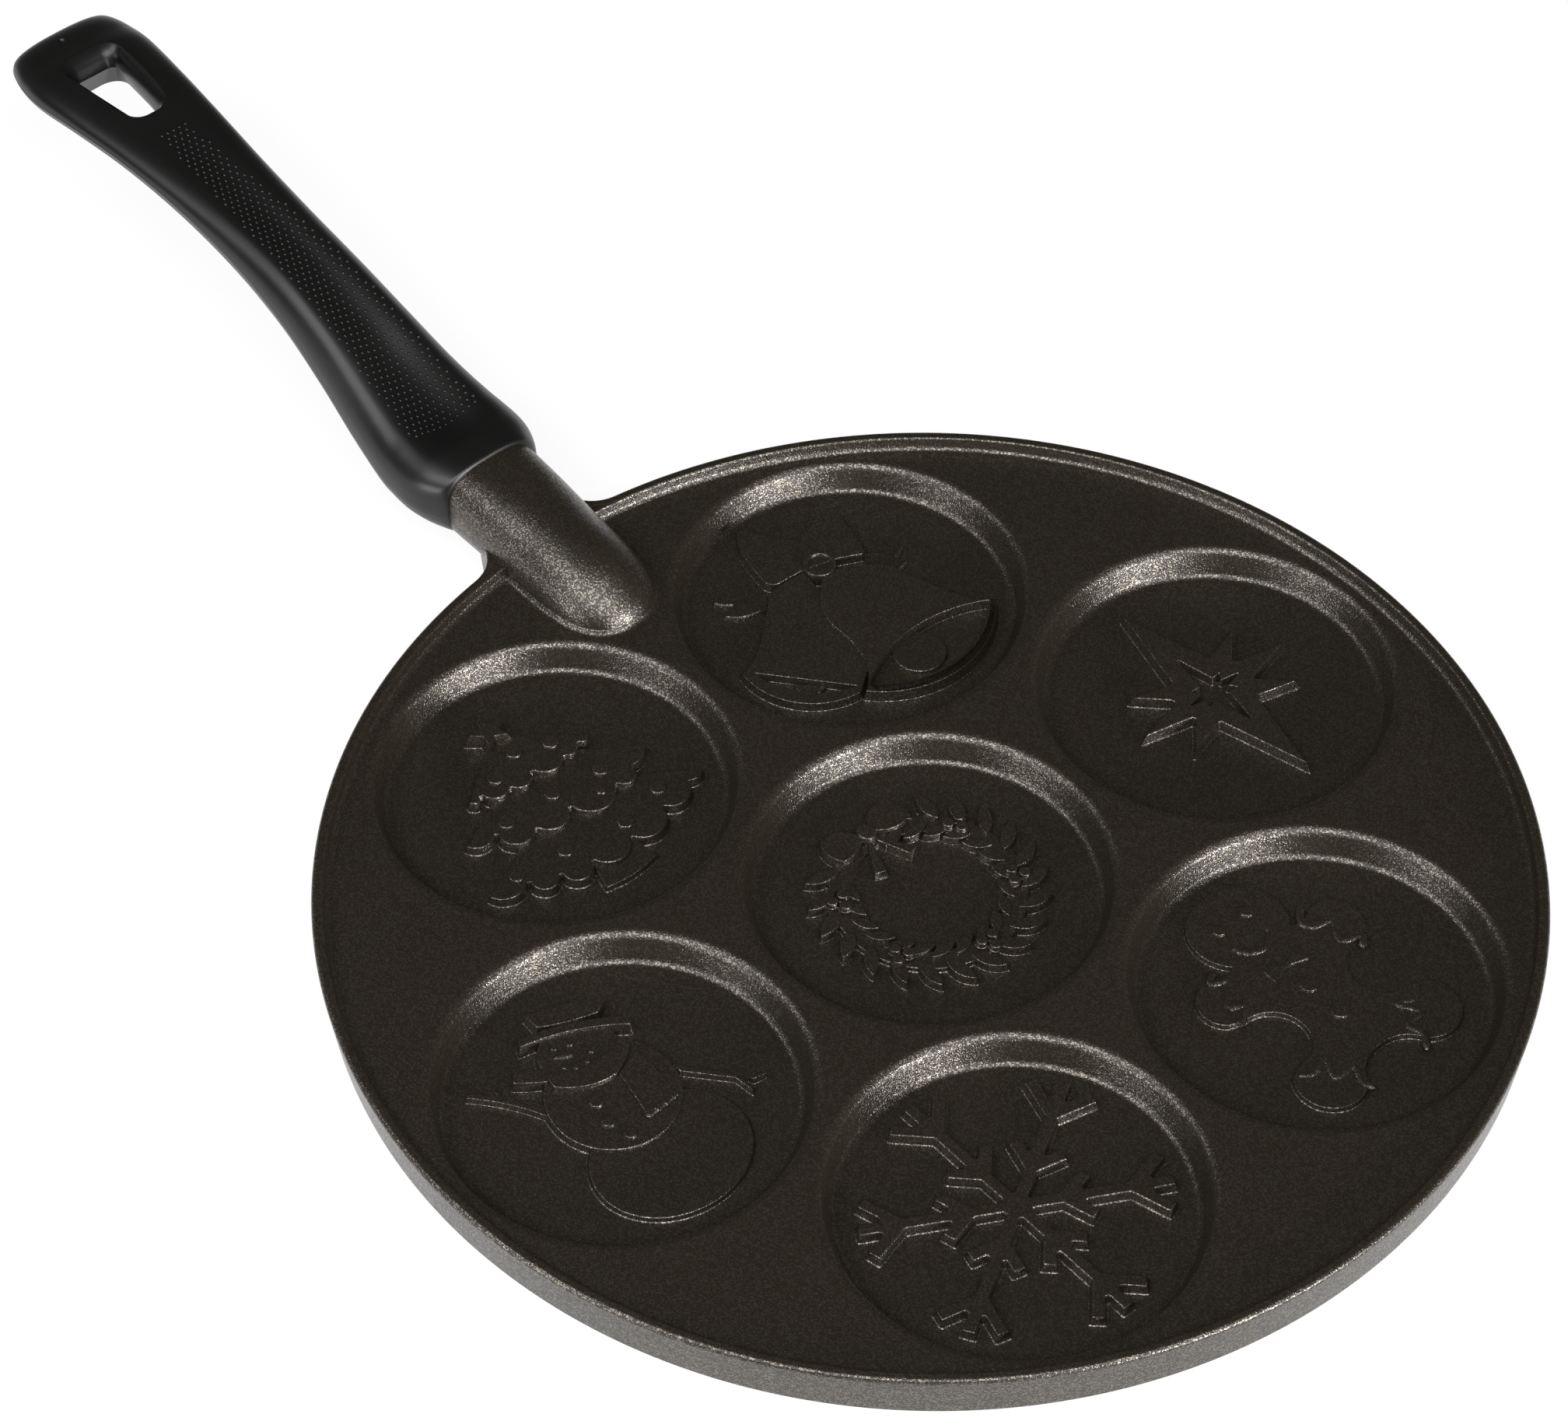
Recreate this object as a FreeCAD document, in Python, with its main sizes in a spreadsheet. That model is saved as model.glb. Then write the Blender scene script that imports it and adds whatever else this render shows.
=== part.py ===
import FreeCAD, Part
import math
import os
import Sketcher

# Pancake pan: a cast plate with seven decorated cups, and a moulded grip screwed to its stub.
# Millimetres. The origin is the centre of the face that the pan rests on, +X points to the grip.

DRIVING_SIZES = [
    ("rim_radius", 133.35, "outer radius at the top of the rim"),
    ("rim_inner_radius", 130.8, "inner radius at the top of the rim"),
    ("rim_foot_radius", 129.4, "radius where the rim meets the plate"),
    ("rim_height", 12.32, "top of the rim above the table"),
    ("rim_edge", 1.0, "rounding of the rim's edges"),
    ("skirt_radius", 131.88, "outer radius at the foot of the skirt"),
    ("skirt_wall", 2.6, "thickness of the skirt"),
    ("plate_height", 9.25, "top of the plate above the table"),
    ("plate_underside", 6.25, "underside of the plate"),
    ("cup_pitch", 86.33, "distance of the outer cups from the middle"),
    ("cup_first_angle", 30, "direction of the first outer cup"),
    ("cup_mouth_edge", 41.55, "radius where a cup's rounded mouth meets the plate"),
    ("cup_floor_flat", 36.9, "radius of the flat floor of a cup"),
    ("cup_floor", 2.75, "floor of a cup above the table"),
    ("cup_rounding", 1.5, "rounding at a cup's mouth and floor"),
    ("cup_wall_slope", 0.404, "spread of a cup's wall for each millimetre of height"),
    ("cup_wall", 2.59, "wall of a cup, measured level"),
    ("cup_pad_radius", 36.8, "inner wall of a cup carried down to the table"),
    ("relief_draft", 17, "slope of the ornaments' walls"),
    ("stub_end", 151.0, "joint face between stub and grip"),
    ("flare_reach", 11.3, "height of the flares between rim and stub"),
    ("tenon_length", 26.0, "tenon beyond the joint face"),
    ("tenon_width", 14.0, "width of the tenon"),
    ("tenon_floor", 9.5, "underside of the tenon"),
    ("tenon_height", 7.5, "thickness of the tenon"),
    ("tenon_play", 0.15, "gap around the tenon in its socket"),
    ("screw_place", 165.0, "distance of the screw from the middle"),
    ("screw_radius", 2.45, "radius of the screw's thread"),
    ("screw_hole_radius", 2.5, "radius of the threaded hole"),
    ("screw_hole_depth", 6.5, "depth of the threaded hole"),
    ("screw_length", 8.5, "screw under its head"),
    ("screw_head_radius", 4.6, "radius of the screw's head"),
    ("screw_head_height", 3.0, "height of the screw's head"),
    ("screw_recess_depth", 1.7, "depth of the driver recess"),
    ("screw_recess_width", 1.1, "width of each slot of the driver recess"),
    ("counterbore_radius", 5.2, "radius of the counterbore in the grip"),
    ("counterbore_top", 7.2, "seat of the washer above the table"),
    ("screw_clearance_radius", 2.9, "radius of the screw's hole in the grip"),
    ("washer_radius", 4.5, "outer radius of the spring washer"),
    ("washer_bore_radius", 2.55, "inner radius of the spring washer"),
    ("washer_thickness", 1.0, "thickness of the spring washer"),
    ("washer_gap", 0.8, "gap of the split spring washer"),
    ("hang_hole_start", 280.0, "narrow end of the hang hole"),
    ("hang_hole_end", 304.0, "wide end of the hang hole"),
    ("hang_hole_narrow", 3.2, "half width of the hang hole at its narrow end"),
    ("hang_hole_wide", 6.6, "half width of the hang hole at its wide end"),
    ("hang_hole_waist", 40.2, "height of the parting line inside the hang hole"),
    ("hang_hole_slant", 1.1, "widening of the hang hole towards its upper face"),
    ("hang_hole_underslant", 1.7, "widening of the hang hole towards its underside"),
    ("grip_dish", 3.4, "deepest hollow of the thumb rest"),
]


class Size(float):
    """A driving size as a number, with the spreadsheet expression that it stands for."""

    def __new__(cls, number, text):
        size = super().__new__(cls, number)
        size.text = text
        return size

    def joined(self, sign, other, number):
        return Size(number, f"({self.text} {sign} {getattr(other, 'text', repr(float(other)))})")

    def __add__(self, other):
        return self.joined("+", other, float(self) + float(other))

    def __sub__(self, other):
        return self.joined("-", other, float(self) - float(other))

    def __mul__(self, other):
        return self.joined("*", other, float(self) * float(other))

    def __truediv__(self, other):
        return self.joined("/", other, float(self) / float(other))

    def __neg__(self):
        return Size(-float(self), f"(0 - {self.text})")


def fill_sheet(document):
    sheet = document.addObject("Spreadsheet::Sheet", "Sizes")
    for row, (alias, number, meaning) in enumerate(DRIVING_SIZES, start=1):
        sheet.set(f"A{row}", meaning)
        sheet.set(f"B{row}", str(number))
        sheet.setAlias(f"B{row}", alias)
    document.recompute()
    return sheet


class Sizes:
    """Named sizes read back from the spreadsheet."""

    def __init__(self, sheet):
        for alias, _number, _meaning in DRIVING_SIZES:
            setattr(self, alias, Size(float(sheet.get(alias)), f"Sizes.{alias}"))


doc = FreeCAD.newDocument("pancake_pan")
size = Sizes(fill_sheet(doc))


def new_body(name):
    body = doc.addObject("PartDesign::Body", name)
    body.Label = name
    return body


def origin_feature(body, role):
    return next(item for item in body.Origin.OriginFeatures if item.Role == role)


def new_sketch(body, name, role, shift=(0, 0, 0)):
    """A sketch on one of the body's own planes, moved along that plane's own axes."""
    sketch = body.newObject("Sketcher::SketchObject", name)
    sketch.AttachmentSupport = [(origin_feature(body, role), "")]
    sketch.MapMode = "FlatFace"
    sketch.AttachmentOffset = FreeCAD.Placement(FreeCAD.Vector(*shift), FreeCAD.Rotation())
    for axis, length in zip("xyz", shift):
        if isinstance(length, Size):
            sketch.setExpression(f"AttachmentOffset.Base.{axis}", length.text)
    return sketch


def held(sketch, kind, geometry, point, length):
    """Holds one end of a line at a level or upright distance from the sketch's origin."""
    place = sketch.addConstraint(Sketcher.Constraint(kind, -1, 1, geometry, point, float(length)))
    if isinstance(length, Size):
        sketch.setExpression(f"Constraints[{place}]", length.text)


def held_radius(sketch, geometry, radius):
    place = sketch.addConstraint(Sketcher.Constraint("Radius", geometry, float(radius)))
    if isinstance(radius, Size):
        sketch.setExpression(f"Constraints[{place}]", radius.text)


def draw_profile(sketch, corners):
    """A closed run of straight lines whose corners follow the spreadsheet."""
    following = corners[1:] + corners[:1]
    for (x, y), (next_x, next_y) in zip(corners, following):
        sketch.addGeometry(Part.LineSegment(FreeCAD.Vector(x, y, 0), FreeCAD.Vector(next_x, next_y, 0)))
    for line in range(len(corners)):
        sketch.addConstraint(Sketcher.Constraint("Coincident", line, 2, (line + 1) % len(corners), 1))
    for line, (x, y) in enumerate(corners):
        held(sketch, "DistanceX", line, 1, x)
        held(sketch, "DistanceY", line, 1, y)


def draw_outline(sketch, corners):
    """A closed counter-clockwise run of lines and arcs.

    Each corner is x, y and the bulge of the stretch after it: the rise of its arc outwards
    over half its chord, 0 for a straight line.
    """
    following = corners[1:] + corners[:1]
    for (x, y, bulge), (next_x, next_y, _) in zip(corners, following):
        start = FreeCAD.Vector(x, y, 0)
        end = FreeCAD.Vector(next_x, next_y, 0)
        if bulge == 0:
            sketch.addGeometry(Part.LineSegment(start, end))
            continue
        along = end - start
        outwards = FreeCAD.Vector(along.y, -along.x, 0)
        sketch.addGeometry(Part.Arc(start, (start + end) * 0.5 + outwards * (bulge / 2), end))


def draw_circle(sketch, x, y, radius):
    circle = sketch.addGeometry(Part.Circle(FreeCAD.Vector(x, y, 0), FreeCAD.Vector(0, 0, 1), float(radius)))
    held(sketch, "DistanceX", circle, 3, x)
    held(sketch, "DistanceY", circle, 3, y)
    held_radius(sketch, circle, radius)


def turn(body, kind, name, sketch):
    """A Revolution or Groove about the sketch's own upright axis."""
    feature = body.newObject(f"PartDesign::{kind}", name)
    feature.Profile = sketch
    feature.ReferenceAxis = (sketch, ["V_Axis"])
    feature.Angle = 360
    sketch.Visibility = False
    return feature


def pad(body, name, sketch, length, draft=None):
    feature = body.newObject("PartDesign::Pad", name)
    feature.Profile = sketch
    feature.Length = float(length)
    if isinstance(length, Size):
        feature.setExpression("Length", length.text)
    if draft is not None:
        feature.TaperAngle = -float(draft)
        feature.setExpression("TaperAngle", f"-{draft.text}")
    sketch.Visibility = False
    return feature


def pocket(body, name, sketch, length, upwards=False):
    feature = body.newObject("PartDesign::Pocket", name)
    feature.Profile = sketch
    feature.Length = float(length)
    feature.Reversed = upwards
    if isinstance(length, Size):
        feature.setExpression("Length", length.text)
    sketch.Visibility = False
    return feature


# Outlines of the ornaments, seen from above in a cup's own place: x towards the grip, y to its left


def star_outline(arms, valley, centre=(0.4, -0.6)):
    """Eight points: long ones along x, the sides along y and short ones between."""
    upright, short, side = arms
    half = [(0, upright), (37, valley), (57, short), (71, valley), (90, side),
            (109, valley), (123, short), (143, valley), (180, upright)]
    turns = half + [(360 - angle, reach) for angle, reach in reversed(half[1:-1])]
    return [(centre[0] + reach * math.cos(math.radians(angle)),
             centre[1] + reach * math.sin(math.radians(angle)), 0) for angle, reach in turns]


def pentagram(x, y, tip, valley):
    """Five points, the first one along x."""
    corners = []
    for step, reach in enumerate((tip, valley) * 5):
        angle = math.radians(36 * step)
        corners.append((x + reach * math.cos(angle), y + reach * math.sin(angle), 0))
    return corners


def snowflake_arm(half_width=1.75, length=33.6, branches=((9.9, 8.0), (24.3, 10.2)), angle=44):
    """One arm along +x with pairs of slanted branches, each given by its place and length."""
    slant = math.radians(angle)
    along, across = math.cos(slant), math.sin(slant)
    inner_run = half_width * math.tan(slant / 2)
    outer_run = half_width / math.tan(slant / 2)
    side = [(-half_width, half_width)]
    for place, reach in branches:
        inner = (place - half_width * across, half_width * along)
        outer = (place + half_width * across, -half_width * along)
        side.append((inner[0] + inner_run * along, half_width))
        side.append((inner[0] + reach * along, inner[1] + reach * across))
        side.append((outer[0] + reach * along, outer[1] + reach * across))
        side.append((outer[0] + outer_run * along, half_width))
    side.append((length, half_width))
    lower = [(x, -y, 0) for x, y in side]
    return lower + [(x, y, 0) for x, y in reversed(side)]


def tier_outline(apex, corner, sag, lobes, centre=1.2):
    """A tree tier: an apex and a lower edge of lobes along a sagging arc between two corners."""
    corner_x, half_width = corner
    lower = []
    for step in range(lobes + 1):
        across = 1 - 2 * step / lobes
        lower.append((corner_x - sag * (1 - across ** 2), centre + half_width * across, 0.62))
    lower[-1] = lower[-1][:2] + (0,)
    return [(apex, centre, 0)] + lower


def circle_outline(x, y, radius):
    return [(x + radius, y, 1), (x - radius, y, 1)]


def mirrored(half):
    """Closes a left half, which ends and starts on y = 0, with its mirror image."""
    right = []
    for (x, y, _), (_, _, bulge) in zip(reversed(half), reversed(half[:-1])):
        right.append((x, -y, bulge))
    return half[:-1] + right


def gingerbread_outline():
    """Round head, stubby arms and round feet, drawn from the crown down its left side."""
    left = [(33.8, 0, 0.70), (15.9, 9.0, -0.20), (16.9, 15.6, 0.75), (5.0, 20.6, 0), (3.6, 17.3, -0.80),
            (-11.4, 12.6, 0.10), (-13.5, 20.3, 0.95), (-25.0, 8.6, -0.32), (-19.7, 0, 0)]
    return mirrored(left)


def bell_outline():
    """The near bell, from its crown down the left flank and round the mouth."""
    return [(10.6, -4.2, 0.30), (7.8, 2.6, 0.20), (-3.0, 8.2, -0.10), (-15.0, 9.6, -0.18),
            (-23.0, 16.2, 0.50), (-21.2, -26.4, -0.18), (-10.4, -19.4, -0.05), (1.4, -15.8, 0.18)]


def far_bell_outline():
    """The far bell, half hidden by the near one."""
    return [(14.6, 1.0, 0.12), (14.8, 12.2, -0.05), (6.4, 21.6, -0.15), (0.0, 33.0, 0.45),
            (-22.6, 16.0, 0), (-14.0, 4.0, 0)]


def bow_outline():
    """Two ribbon loops that meet in a knot over the bells."""
    return [(33.6, 5.6, 0.15), (25.0, 9.4, 0.05), (17.4, 10.6, 0.3), (15.0, 8.0, 0), (14.6, 1.6, 0),
            (12.0, -7.6, 0), (9.4, -12.6, 0.3), (10.6, -14.2, 0.05), (17.0, -15.8, 0),
            (23.4, -17.6, 0.3), (26.4, -14.0, 0.05), (23.0, -4.8, -0.1), (33.8, 2.2, 0.5)]


def wreath_outline(leaves=16, outer=26.5, inner=22.8):
    """A ring of leaf tips round the middle cup's wreath."""
    tips = []
    for leaf in range(leaves):
        tip = 2 * math.pi * leaf / leaves
        notch = tip + math.pi / leaves
        tips.append((outer * math.cos(tip), outer * math.sin(tip), 0.16))
        tips.append((inner * math.cos(notch), inner * math.sin(notch), 0.16))
    return tips


# Ornaments of each cup: name, outline, underside and height above the cup's floor

MIDDLE = 0
TREE, SNOWMAN, SNOWFLAKE, GINGERBREAD, STAR, BELLS = range(1, 7)

RAISED = [
    (TREE, "tree_pot", [(-22.0, 7.2, 0), (-27.6, 8.6, 0.12), (-27.6, -6.2, 0), (-22.0, -4.8, 0)], 0, 1.3),
    (TREE, "tree_lower_tier", tier_outline(0.0, (-16.8, 29.6), 8.2, 7), 0, 1.6),
    (TREE, "tree_middle_tier", tier_outline(11.5, (-2.6, 24.8), 6.4, 6), 0, 2.0),
    (TREE, "tree_top_tier", tier_outline(20.5, (8.2, 16.2), 4.4, 6), 0, 2.4),
    (TREE, "tree_star", pentagram(23.3, 0.6, 6.0, 2.6), 0, 3.2),
    (SNOWMAN, "snowman_base", circle_outline(-16.0, 1.4, 17.0), 0, 1.15),
    (SNOWMAN, "snowman_middle", circle_outline(2.2, 0.6, 14.8), 0, 1.75),
    (SNOWMAN, "snowman_head", circle_outline(14.9, -0.6, 9.4), 0, 2.3),
    (SNOWMAN, "snowman_brim", [(25.2, 7.4, 0), (22.6, 9.0, -0.16), (11.9, -13.0, 0), (14.4, -15.0, 0.16)],
     0, 2.9),
    (SNOWMAN, "snowman_crown", [(30.2, 1.6, 0), (23.6, 2.8, 0), (17.8, -9.4, 0), (22.6, -13.8, 0.12)],
     0, 2.6),
    (SNOWMAN, "coat_button_1", circle_outline(2.7, 4.9, 1.55), 0, 2.25),
    (SNOWMAN, "coat_button_2", circle_outline(-2.9, 6.2, 1.55), 0, 2.25),
    (SNOWMAN, "coat_button_3", circle_outline(-8.2, 4.6, 1.55), 0, 2.25),
    (GINGERBREAD, "gingerbread_body", gingerbread_outline(), 0, 1.2),
    (GINGERBREAD, "left_eye", circle_outline(24.9, 4.0, 1.7), 0, 1.7),
    (GINGERBREAD, "right_eye", circle_outline(24.9, -4.2, 1.7), 0, 1.7),
    (GINGERBREAD, "upper_button", circle_outline(1.8, -0.1, 2.1), 0, 1.7),
    (GINGERBREAD, "lower_button", circle_outline(-7.6, -0.1, 2.1), 0, 1.7),
    (STAR, "star_body", star_outline((31.3, 20.4, 23.2), 10.2), 0, 2.6),
    (BELLS, "far_bell", far_bell_outline(), 0, 2.1),
    (BELLS, "near_bell", bell_outline(), 0, 2.65),
    (BELLS, "bow", bow_outline(), 0, 2.2),
    (MIDDLE, "wreath_ring", wreath_outline(), 0, 1.8),
]

SUNK = [
    (STAR, "star_inner", star_outline((12.4, 5.4, 8.0), 3.4), 2.6, 2.2),
    (BELLS, "bell_mouth", [(-22.0, 13.6, 0.45), (-20.6, -24.4, 0.30)], 2.65, 2.3),
    (BELLS, "far_bell_mouth", [(-1.6, 30.2, 0.30), (-20.2, 15.6, 0)], 2.1, 1.8),
    (MIDDLE, "wreath_opening", circle_outline(0, 0, 13.0), 1.8, 1.8),
]


# Ornaments whose short walls stand upright, without draft
UPRIGHT = {"tree_top_tier", "tree_star", "bow", "left_eye", "right_eye", "upper_button", "lower_button",
           "coat_button_1", "coat_button_2", "coat_button_3"}


def cup_centre(cup):
    if cup == MIDDLE:
        return 0.0, 0.0
    angle = math.radians(size.cup_first_angle + 60 * (cup - 1))
    return size.cup_pitch * math.cos(angle), size.cup_pitch * math.sin(angle)


def cup_sketch(body, name, cup, level):
    x, y = cup_centre(cup)
    return new_sketch(body, name, "XY_Plane", (float(x), float(y), size.cup_floor + level))


def plate_and_skirt(body):
    """The plate, its raised rim and the skirt under it, as one turned profile."""
    sketch = new_sketch(body, "plate_profile", "XZ_Plane")
    inner_top = size.rim_inner_radius - size.rim_edge
    draw_profile(sketch, [
        (0, size.plate_underside),
        (inner_top, size.plate_underside),
        (size.skirt_radius - size.skirt_wall, 0),
        (size.skirt_radius, 0),
        (size.rim_radius, size.rim_height),
        (size.rim_inner_radius, size.rim_height),
        (size.rim_foot_radius, size.plate_height),
        (0, size.plate_height),
    ])
    return turn(body, "Revolution", "plate_and_skirt", sketch)


def cup_section(body, name, offset):
    """An upright sketch through a cup's middle, in the direction of the first outer cup."""
    sketch = new_sketch(body, name + "_profile", "XZ_Plane")
    angle = float(size.cup_first_angle)
    sideways = FreeCAD.Rotation(FreeCAD.Vector(0, 1, 0), angle)
    place = sideways.multVec(FreeCAD.Vector(offset, 0, 0))
    sketch.AttachmentOffset = FreeCAD.Placement(place, sideways)
    if isinstance(offset, Size):
        sketch.setExpression("AttachmentOffset.Base.x", f"{offset.text} * cos(Sizes.cup_first_angle * 1deg)")
        sketch.setExpression("AttachmentOffset.Base.z", f"-{offset.text} * sin(Sizes.cup_first_angle * 1deg)")
    return sketch


def cup_shell(body, name, offset):
    """The metal around one cup, down to the table."""
    sketch = cup_section(body, name, offset)
    wall = size.cup_wall
    slope = size.cup_wall_slope
    # the shell stops a little inside the plate, whose metal it joins
    top = (size.plate_underside + size.plate_height) / 2
    draw_profile(sketch, [
        (0, 0),
        (size.cup_pad_radius + wall, 0),
        (size.cup_pad_radius + wall + slope * top, top),
        (0, top),
    ])
    return turn(body, "Revolution", name, sketch)


def cup_hollow(body, name, offset):
    """The room of one cup: flat floor, sloping wall, and roundings at its floor and its mouth."""
    sketch = cup_section(body, name, offset)
    rounding = size.cup_rounding
    inner = FreeCAD.Vector(size.cup_floor_flat, size.cup_floor + rounding, 0)
    outer = FreeCAD.Vector(size.cup_mouth_edge, size.plate_height - rounding, 0)
    # the wall is the line that touches both roundings and passes between them
    step = outer - inner
    slope = math.atan2(step.y, step.x) + math.asin(2 * rounding / step.Length)
    away = FreeCAD.Vector(math.sin(slope), -math.cos(slope), 0)
    foot = inner + away * float(rounding)
    lip = outer - away * float(rounding)
    axis_foot = FreeCAD.Vector(0, size.cup_floor, 0)
    axis_top = FreeCAD.Vector(0, size.plate_height, 0)
    floor_end = FreeCAD.Vector(size.cup_floor_flat, size.cup_floor, 0)
    mouth_end = FreeCAD.Vector(size.cup_mouth_edge, size.plate_height, 0)
    upwards = FreeCAD.Vector(0, 0, 1)
    quarter = math.pi / 2
    sketch.addGeometry([
        Part.LineSegment(axis_foot, floor_end),
        Part.ArcOfCircle(Part.Circle(inner, upwards, float(rounding)), -quarter, slope - quarter),
        Part.LineSegment(foot, lip),
        Part.ArcOfCircle(Part.Circle(outer, upwards, float(rounding)), quarter, slope + quarter),
        Part.LineSegment(mouth_end, axis_top),
        Part.LineSegment(axis_top, axis_foot),
    ])
    floor, floor_arc, wall, mouth_arc, mouth, axis = range(6)
    sketch.addConstraint([
        Sketcher.Constraint("Tangent", floor, 2, floor_arc, 1),
        Sketcher.Constraint("Tangent", floor_arc, 2, wall, 1),
        Sketcher.Constraint("Tangent", wall, 2, mouth_arc, 2),
        Sketcher.Constraint("Tangent", mouth_arc, 1, mouth, 1),
        Sketcher.Constraint("Coincident", mouth, 2, axis, 1),
        Sketcher.Constraint("Coincident", axis, 2, floor, 1),
        Sketcher.Constraint("Horizontal", floor),
        Sketcher.Constraint("Horizontal", mouth),
    ])
    for arc in (floor_arc, mouth_arc):
        held_radius(sketch, arc, rounding)
    held(sketch, "DistanceX", floor, 1, 0)
    held(sketch, "DistanceY", floor, 1, size.cup_floor)
    held(sketch, "DistanceX", floor, 2, size.cup_floor_flat)
    held(sketch, "DistanceX", mouth, 1, size.cup_mouth_edge)
    held(sketch, "DistanceY", mouth, 1, size.plate_height)
    held(sketch, "DistanceX", mouth, 2, 0)
    return turn(body, "Groove", name, sketch)


def ring_of_cups(body, features):
    """Six outer cups, one every 60 degrees, starting beside the stub."""
    pattern = body.newObject("PartDesign::PolarPattern", "outer_cups")
    pattern.Originals = features
    pattern.Axis = (origin_feature(body, "Z_Axis"), [""])
    pattern.Angle = 360
    pattern.Occurrences = 6
    body.Tip = pattern
    return pattern


def superellipse(half_width, top, bottom, middle, powers, points=24, dish=0.0):
    """Closed cross-section about the upright plane, with its own power above and below."""
    ring = []
    for step in range(points):
        angle = 2 * math.pi * step / points
        across, rise = math.cos(angle), math.sin(angle)
        upper = rise >= 0
        power = powers[0] if upper else powers[1]
        y = half_width * math.copysign(abs(across) ** (2 / power), across)
        z = middle + (top if upper else -bottom) * abs(rise) ** (2 / power)
        share = abs(y) / half_width
        if upper and share < 0.66:
            z -= dish * math.cos(share / 0.66 * math.pi / 2) ** 2
        ring.append((y, z))
    return ring


def section_sketch(body, name, x, ring):
    """One closed spline across the pan's length."""
    sketch = new_sketch(body, name, "YZ_Plane", (0, 0, x))
    curve = Part.BSplineCurve()
    curve.interpolate([FreeCAD.Vector(y, z, 0) for y, z in ring], PeriodicFlag=True)
    sketch.addGeometry(curve)
    return sketch


# Sections of the stub: x, half width, top, underside and squareness, heights above the table
STUB_SECTIONS = [
    (98.6, 3.2, 9.7, 7.6, 2.0),
    (101.0, 7.4, 13.2, 7.5, 2.0),
    (106.0, 10.6, 17.6, 7.4, 2.0),
    (113.0, 12.4, 20.6, 7.3, 2.0),
    (122.0, 12.8, 22.0, 7.0, 2.1),
    (133.0, 12.6, 22.8, 3.0, 2.2),
    (142.0, 12.5, 23.2, 2.0, 2.6),
    (151.0, 12.2, 23.3, 1.85, 3.0),
]


def stub(body):
    """Thumb-shaped nose over the plate, running out to the joint face of the grip."""
    sketches = []
    for place, (x, half_width, top, underside, power) in enumerate(STUB_SECTIONS):
        middle = (top + underside) / 2
        half = (top - underside) / 2
        ring = superellipse(half_width, half, half, middle, (power, power))
        last = place == len(STUB_SECTIONS) - 1
        sketches.append(section_sketch(body, f"stub_section_{place + 1}", size.stub_end if last else x, ring))
    loft = body.newObject("PartDesign::AdditiveLoft", "stub")
    loft.Profile = sketches[0]
    loft.Sections = sketches[1:]
    return loft


def flares(body):
    """Webs that sweep in concave curves from the skirt into the stub's flanks."""
    sketch = new_sketch(body, "flare_outline", "XY_Plane", (0, 0, size.rim_height - size.flare_reach))
    half = [(143.0, 0, 0), (143.0, 12.1, 0), (141.6, 12.1, -0.37), (131.7, 20.56, 0), (126.0, 24.0, 0),
            (126.0, 0, 0)]
    draw_outline(sketch, mirrored(half))
    return pad(body, "flares", sketch, size.flare_reach - size.rim_edge / 2)


def tenon(body):
    """The tongue that the grip slides over, with its threaded hole from below."""
    sketch = new_sketch(body, "tenon_outline", "YZ_Plane", (0, 0, size.stub_end - 2))
    half_width = size.tenon_width / 2
    top = size.tenon_floor + size.tenon_height
    draw_profile(sketch, [(-half_width, size.tenon_floor), (half_width, size.tenon_floor),
                          (half_width, top), (-half_width, top)])
    pad(body, "tenon", sketch, size.tenon_length + 2)
    hole = new_sketch(body, "thread_outline", "XY_Plane", (0, 0, size.tenon_floor))
    draw_circle(hole, size.screw_place, 0, size.screw_hole_radius)
    return pocket(body, "threaded_hole", hole, size.screw_hole_depth, upwards=True)


def ornaments(body):
    """Raised ornaments on the cups' floors, with drafted walls, and their sunk places."""
    for cup, name, outline, level, height in RAISED:
        sketch = cup_sketch(body, name + "_outline", cup, level)
        draw_outline(sketch, outline)
        pad(body, name, sketch, height, None if name in UPRIGHT else size.relief_draft)
    arm = cup_sketch(body, "snowflake_outline", SNOWFLAKE, 0)
    draw_outline(arm, snowflake_arm())
    arm_pad = pad(body, "snowflake_arm", arm, 2.2, size.relief_draft)
    doc.recompute()
    pattern = body.newObject("PartDesign::PolarPattern", "snowflake")
    pattern.Originals = [arm_pad]
    pattern.Axis = (arm, ["N_Axis"])
    pattern.Angle = 360
    pattern.Occurrences = 6
    body.Tip = pattern
    for cup, name, outline, level, depth in SUNK:
        sketch = cup_sketch(body, name + "_outline", cup, level)
        draw_outline(sketch, outline)
        pocket(body, name, sketch, depth)


def build_pan_casting():
    """The casting: plate, rim and skirt, seven cups with their ornaments, stub and tenon."""
    body = new_body("pan_casting")
    plate_and_skirt(body)
    cup_shell(body, "middle_cup_shell", 0)
    outer_shell = cup_shell(body, "outer_cup_shell", size.cup_pitch)
    stub(body)
    flares(body)
    cup_hollow(body, "middle_cup", 0)
    outer_hollow = cup_hollow(body, "outer_cup", size.cup_pitch)
    doc.recompute()
    ring_of_cups(body, [outer_shell, outer_hollow])
    doc.recompute()
    tenon(body)
    doc.recompute()
    ornaments(body)
    return body


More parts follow.
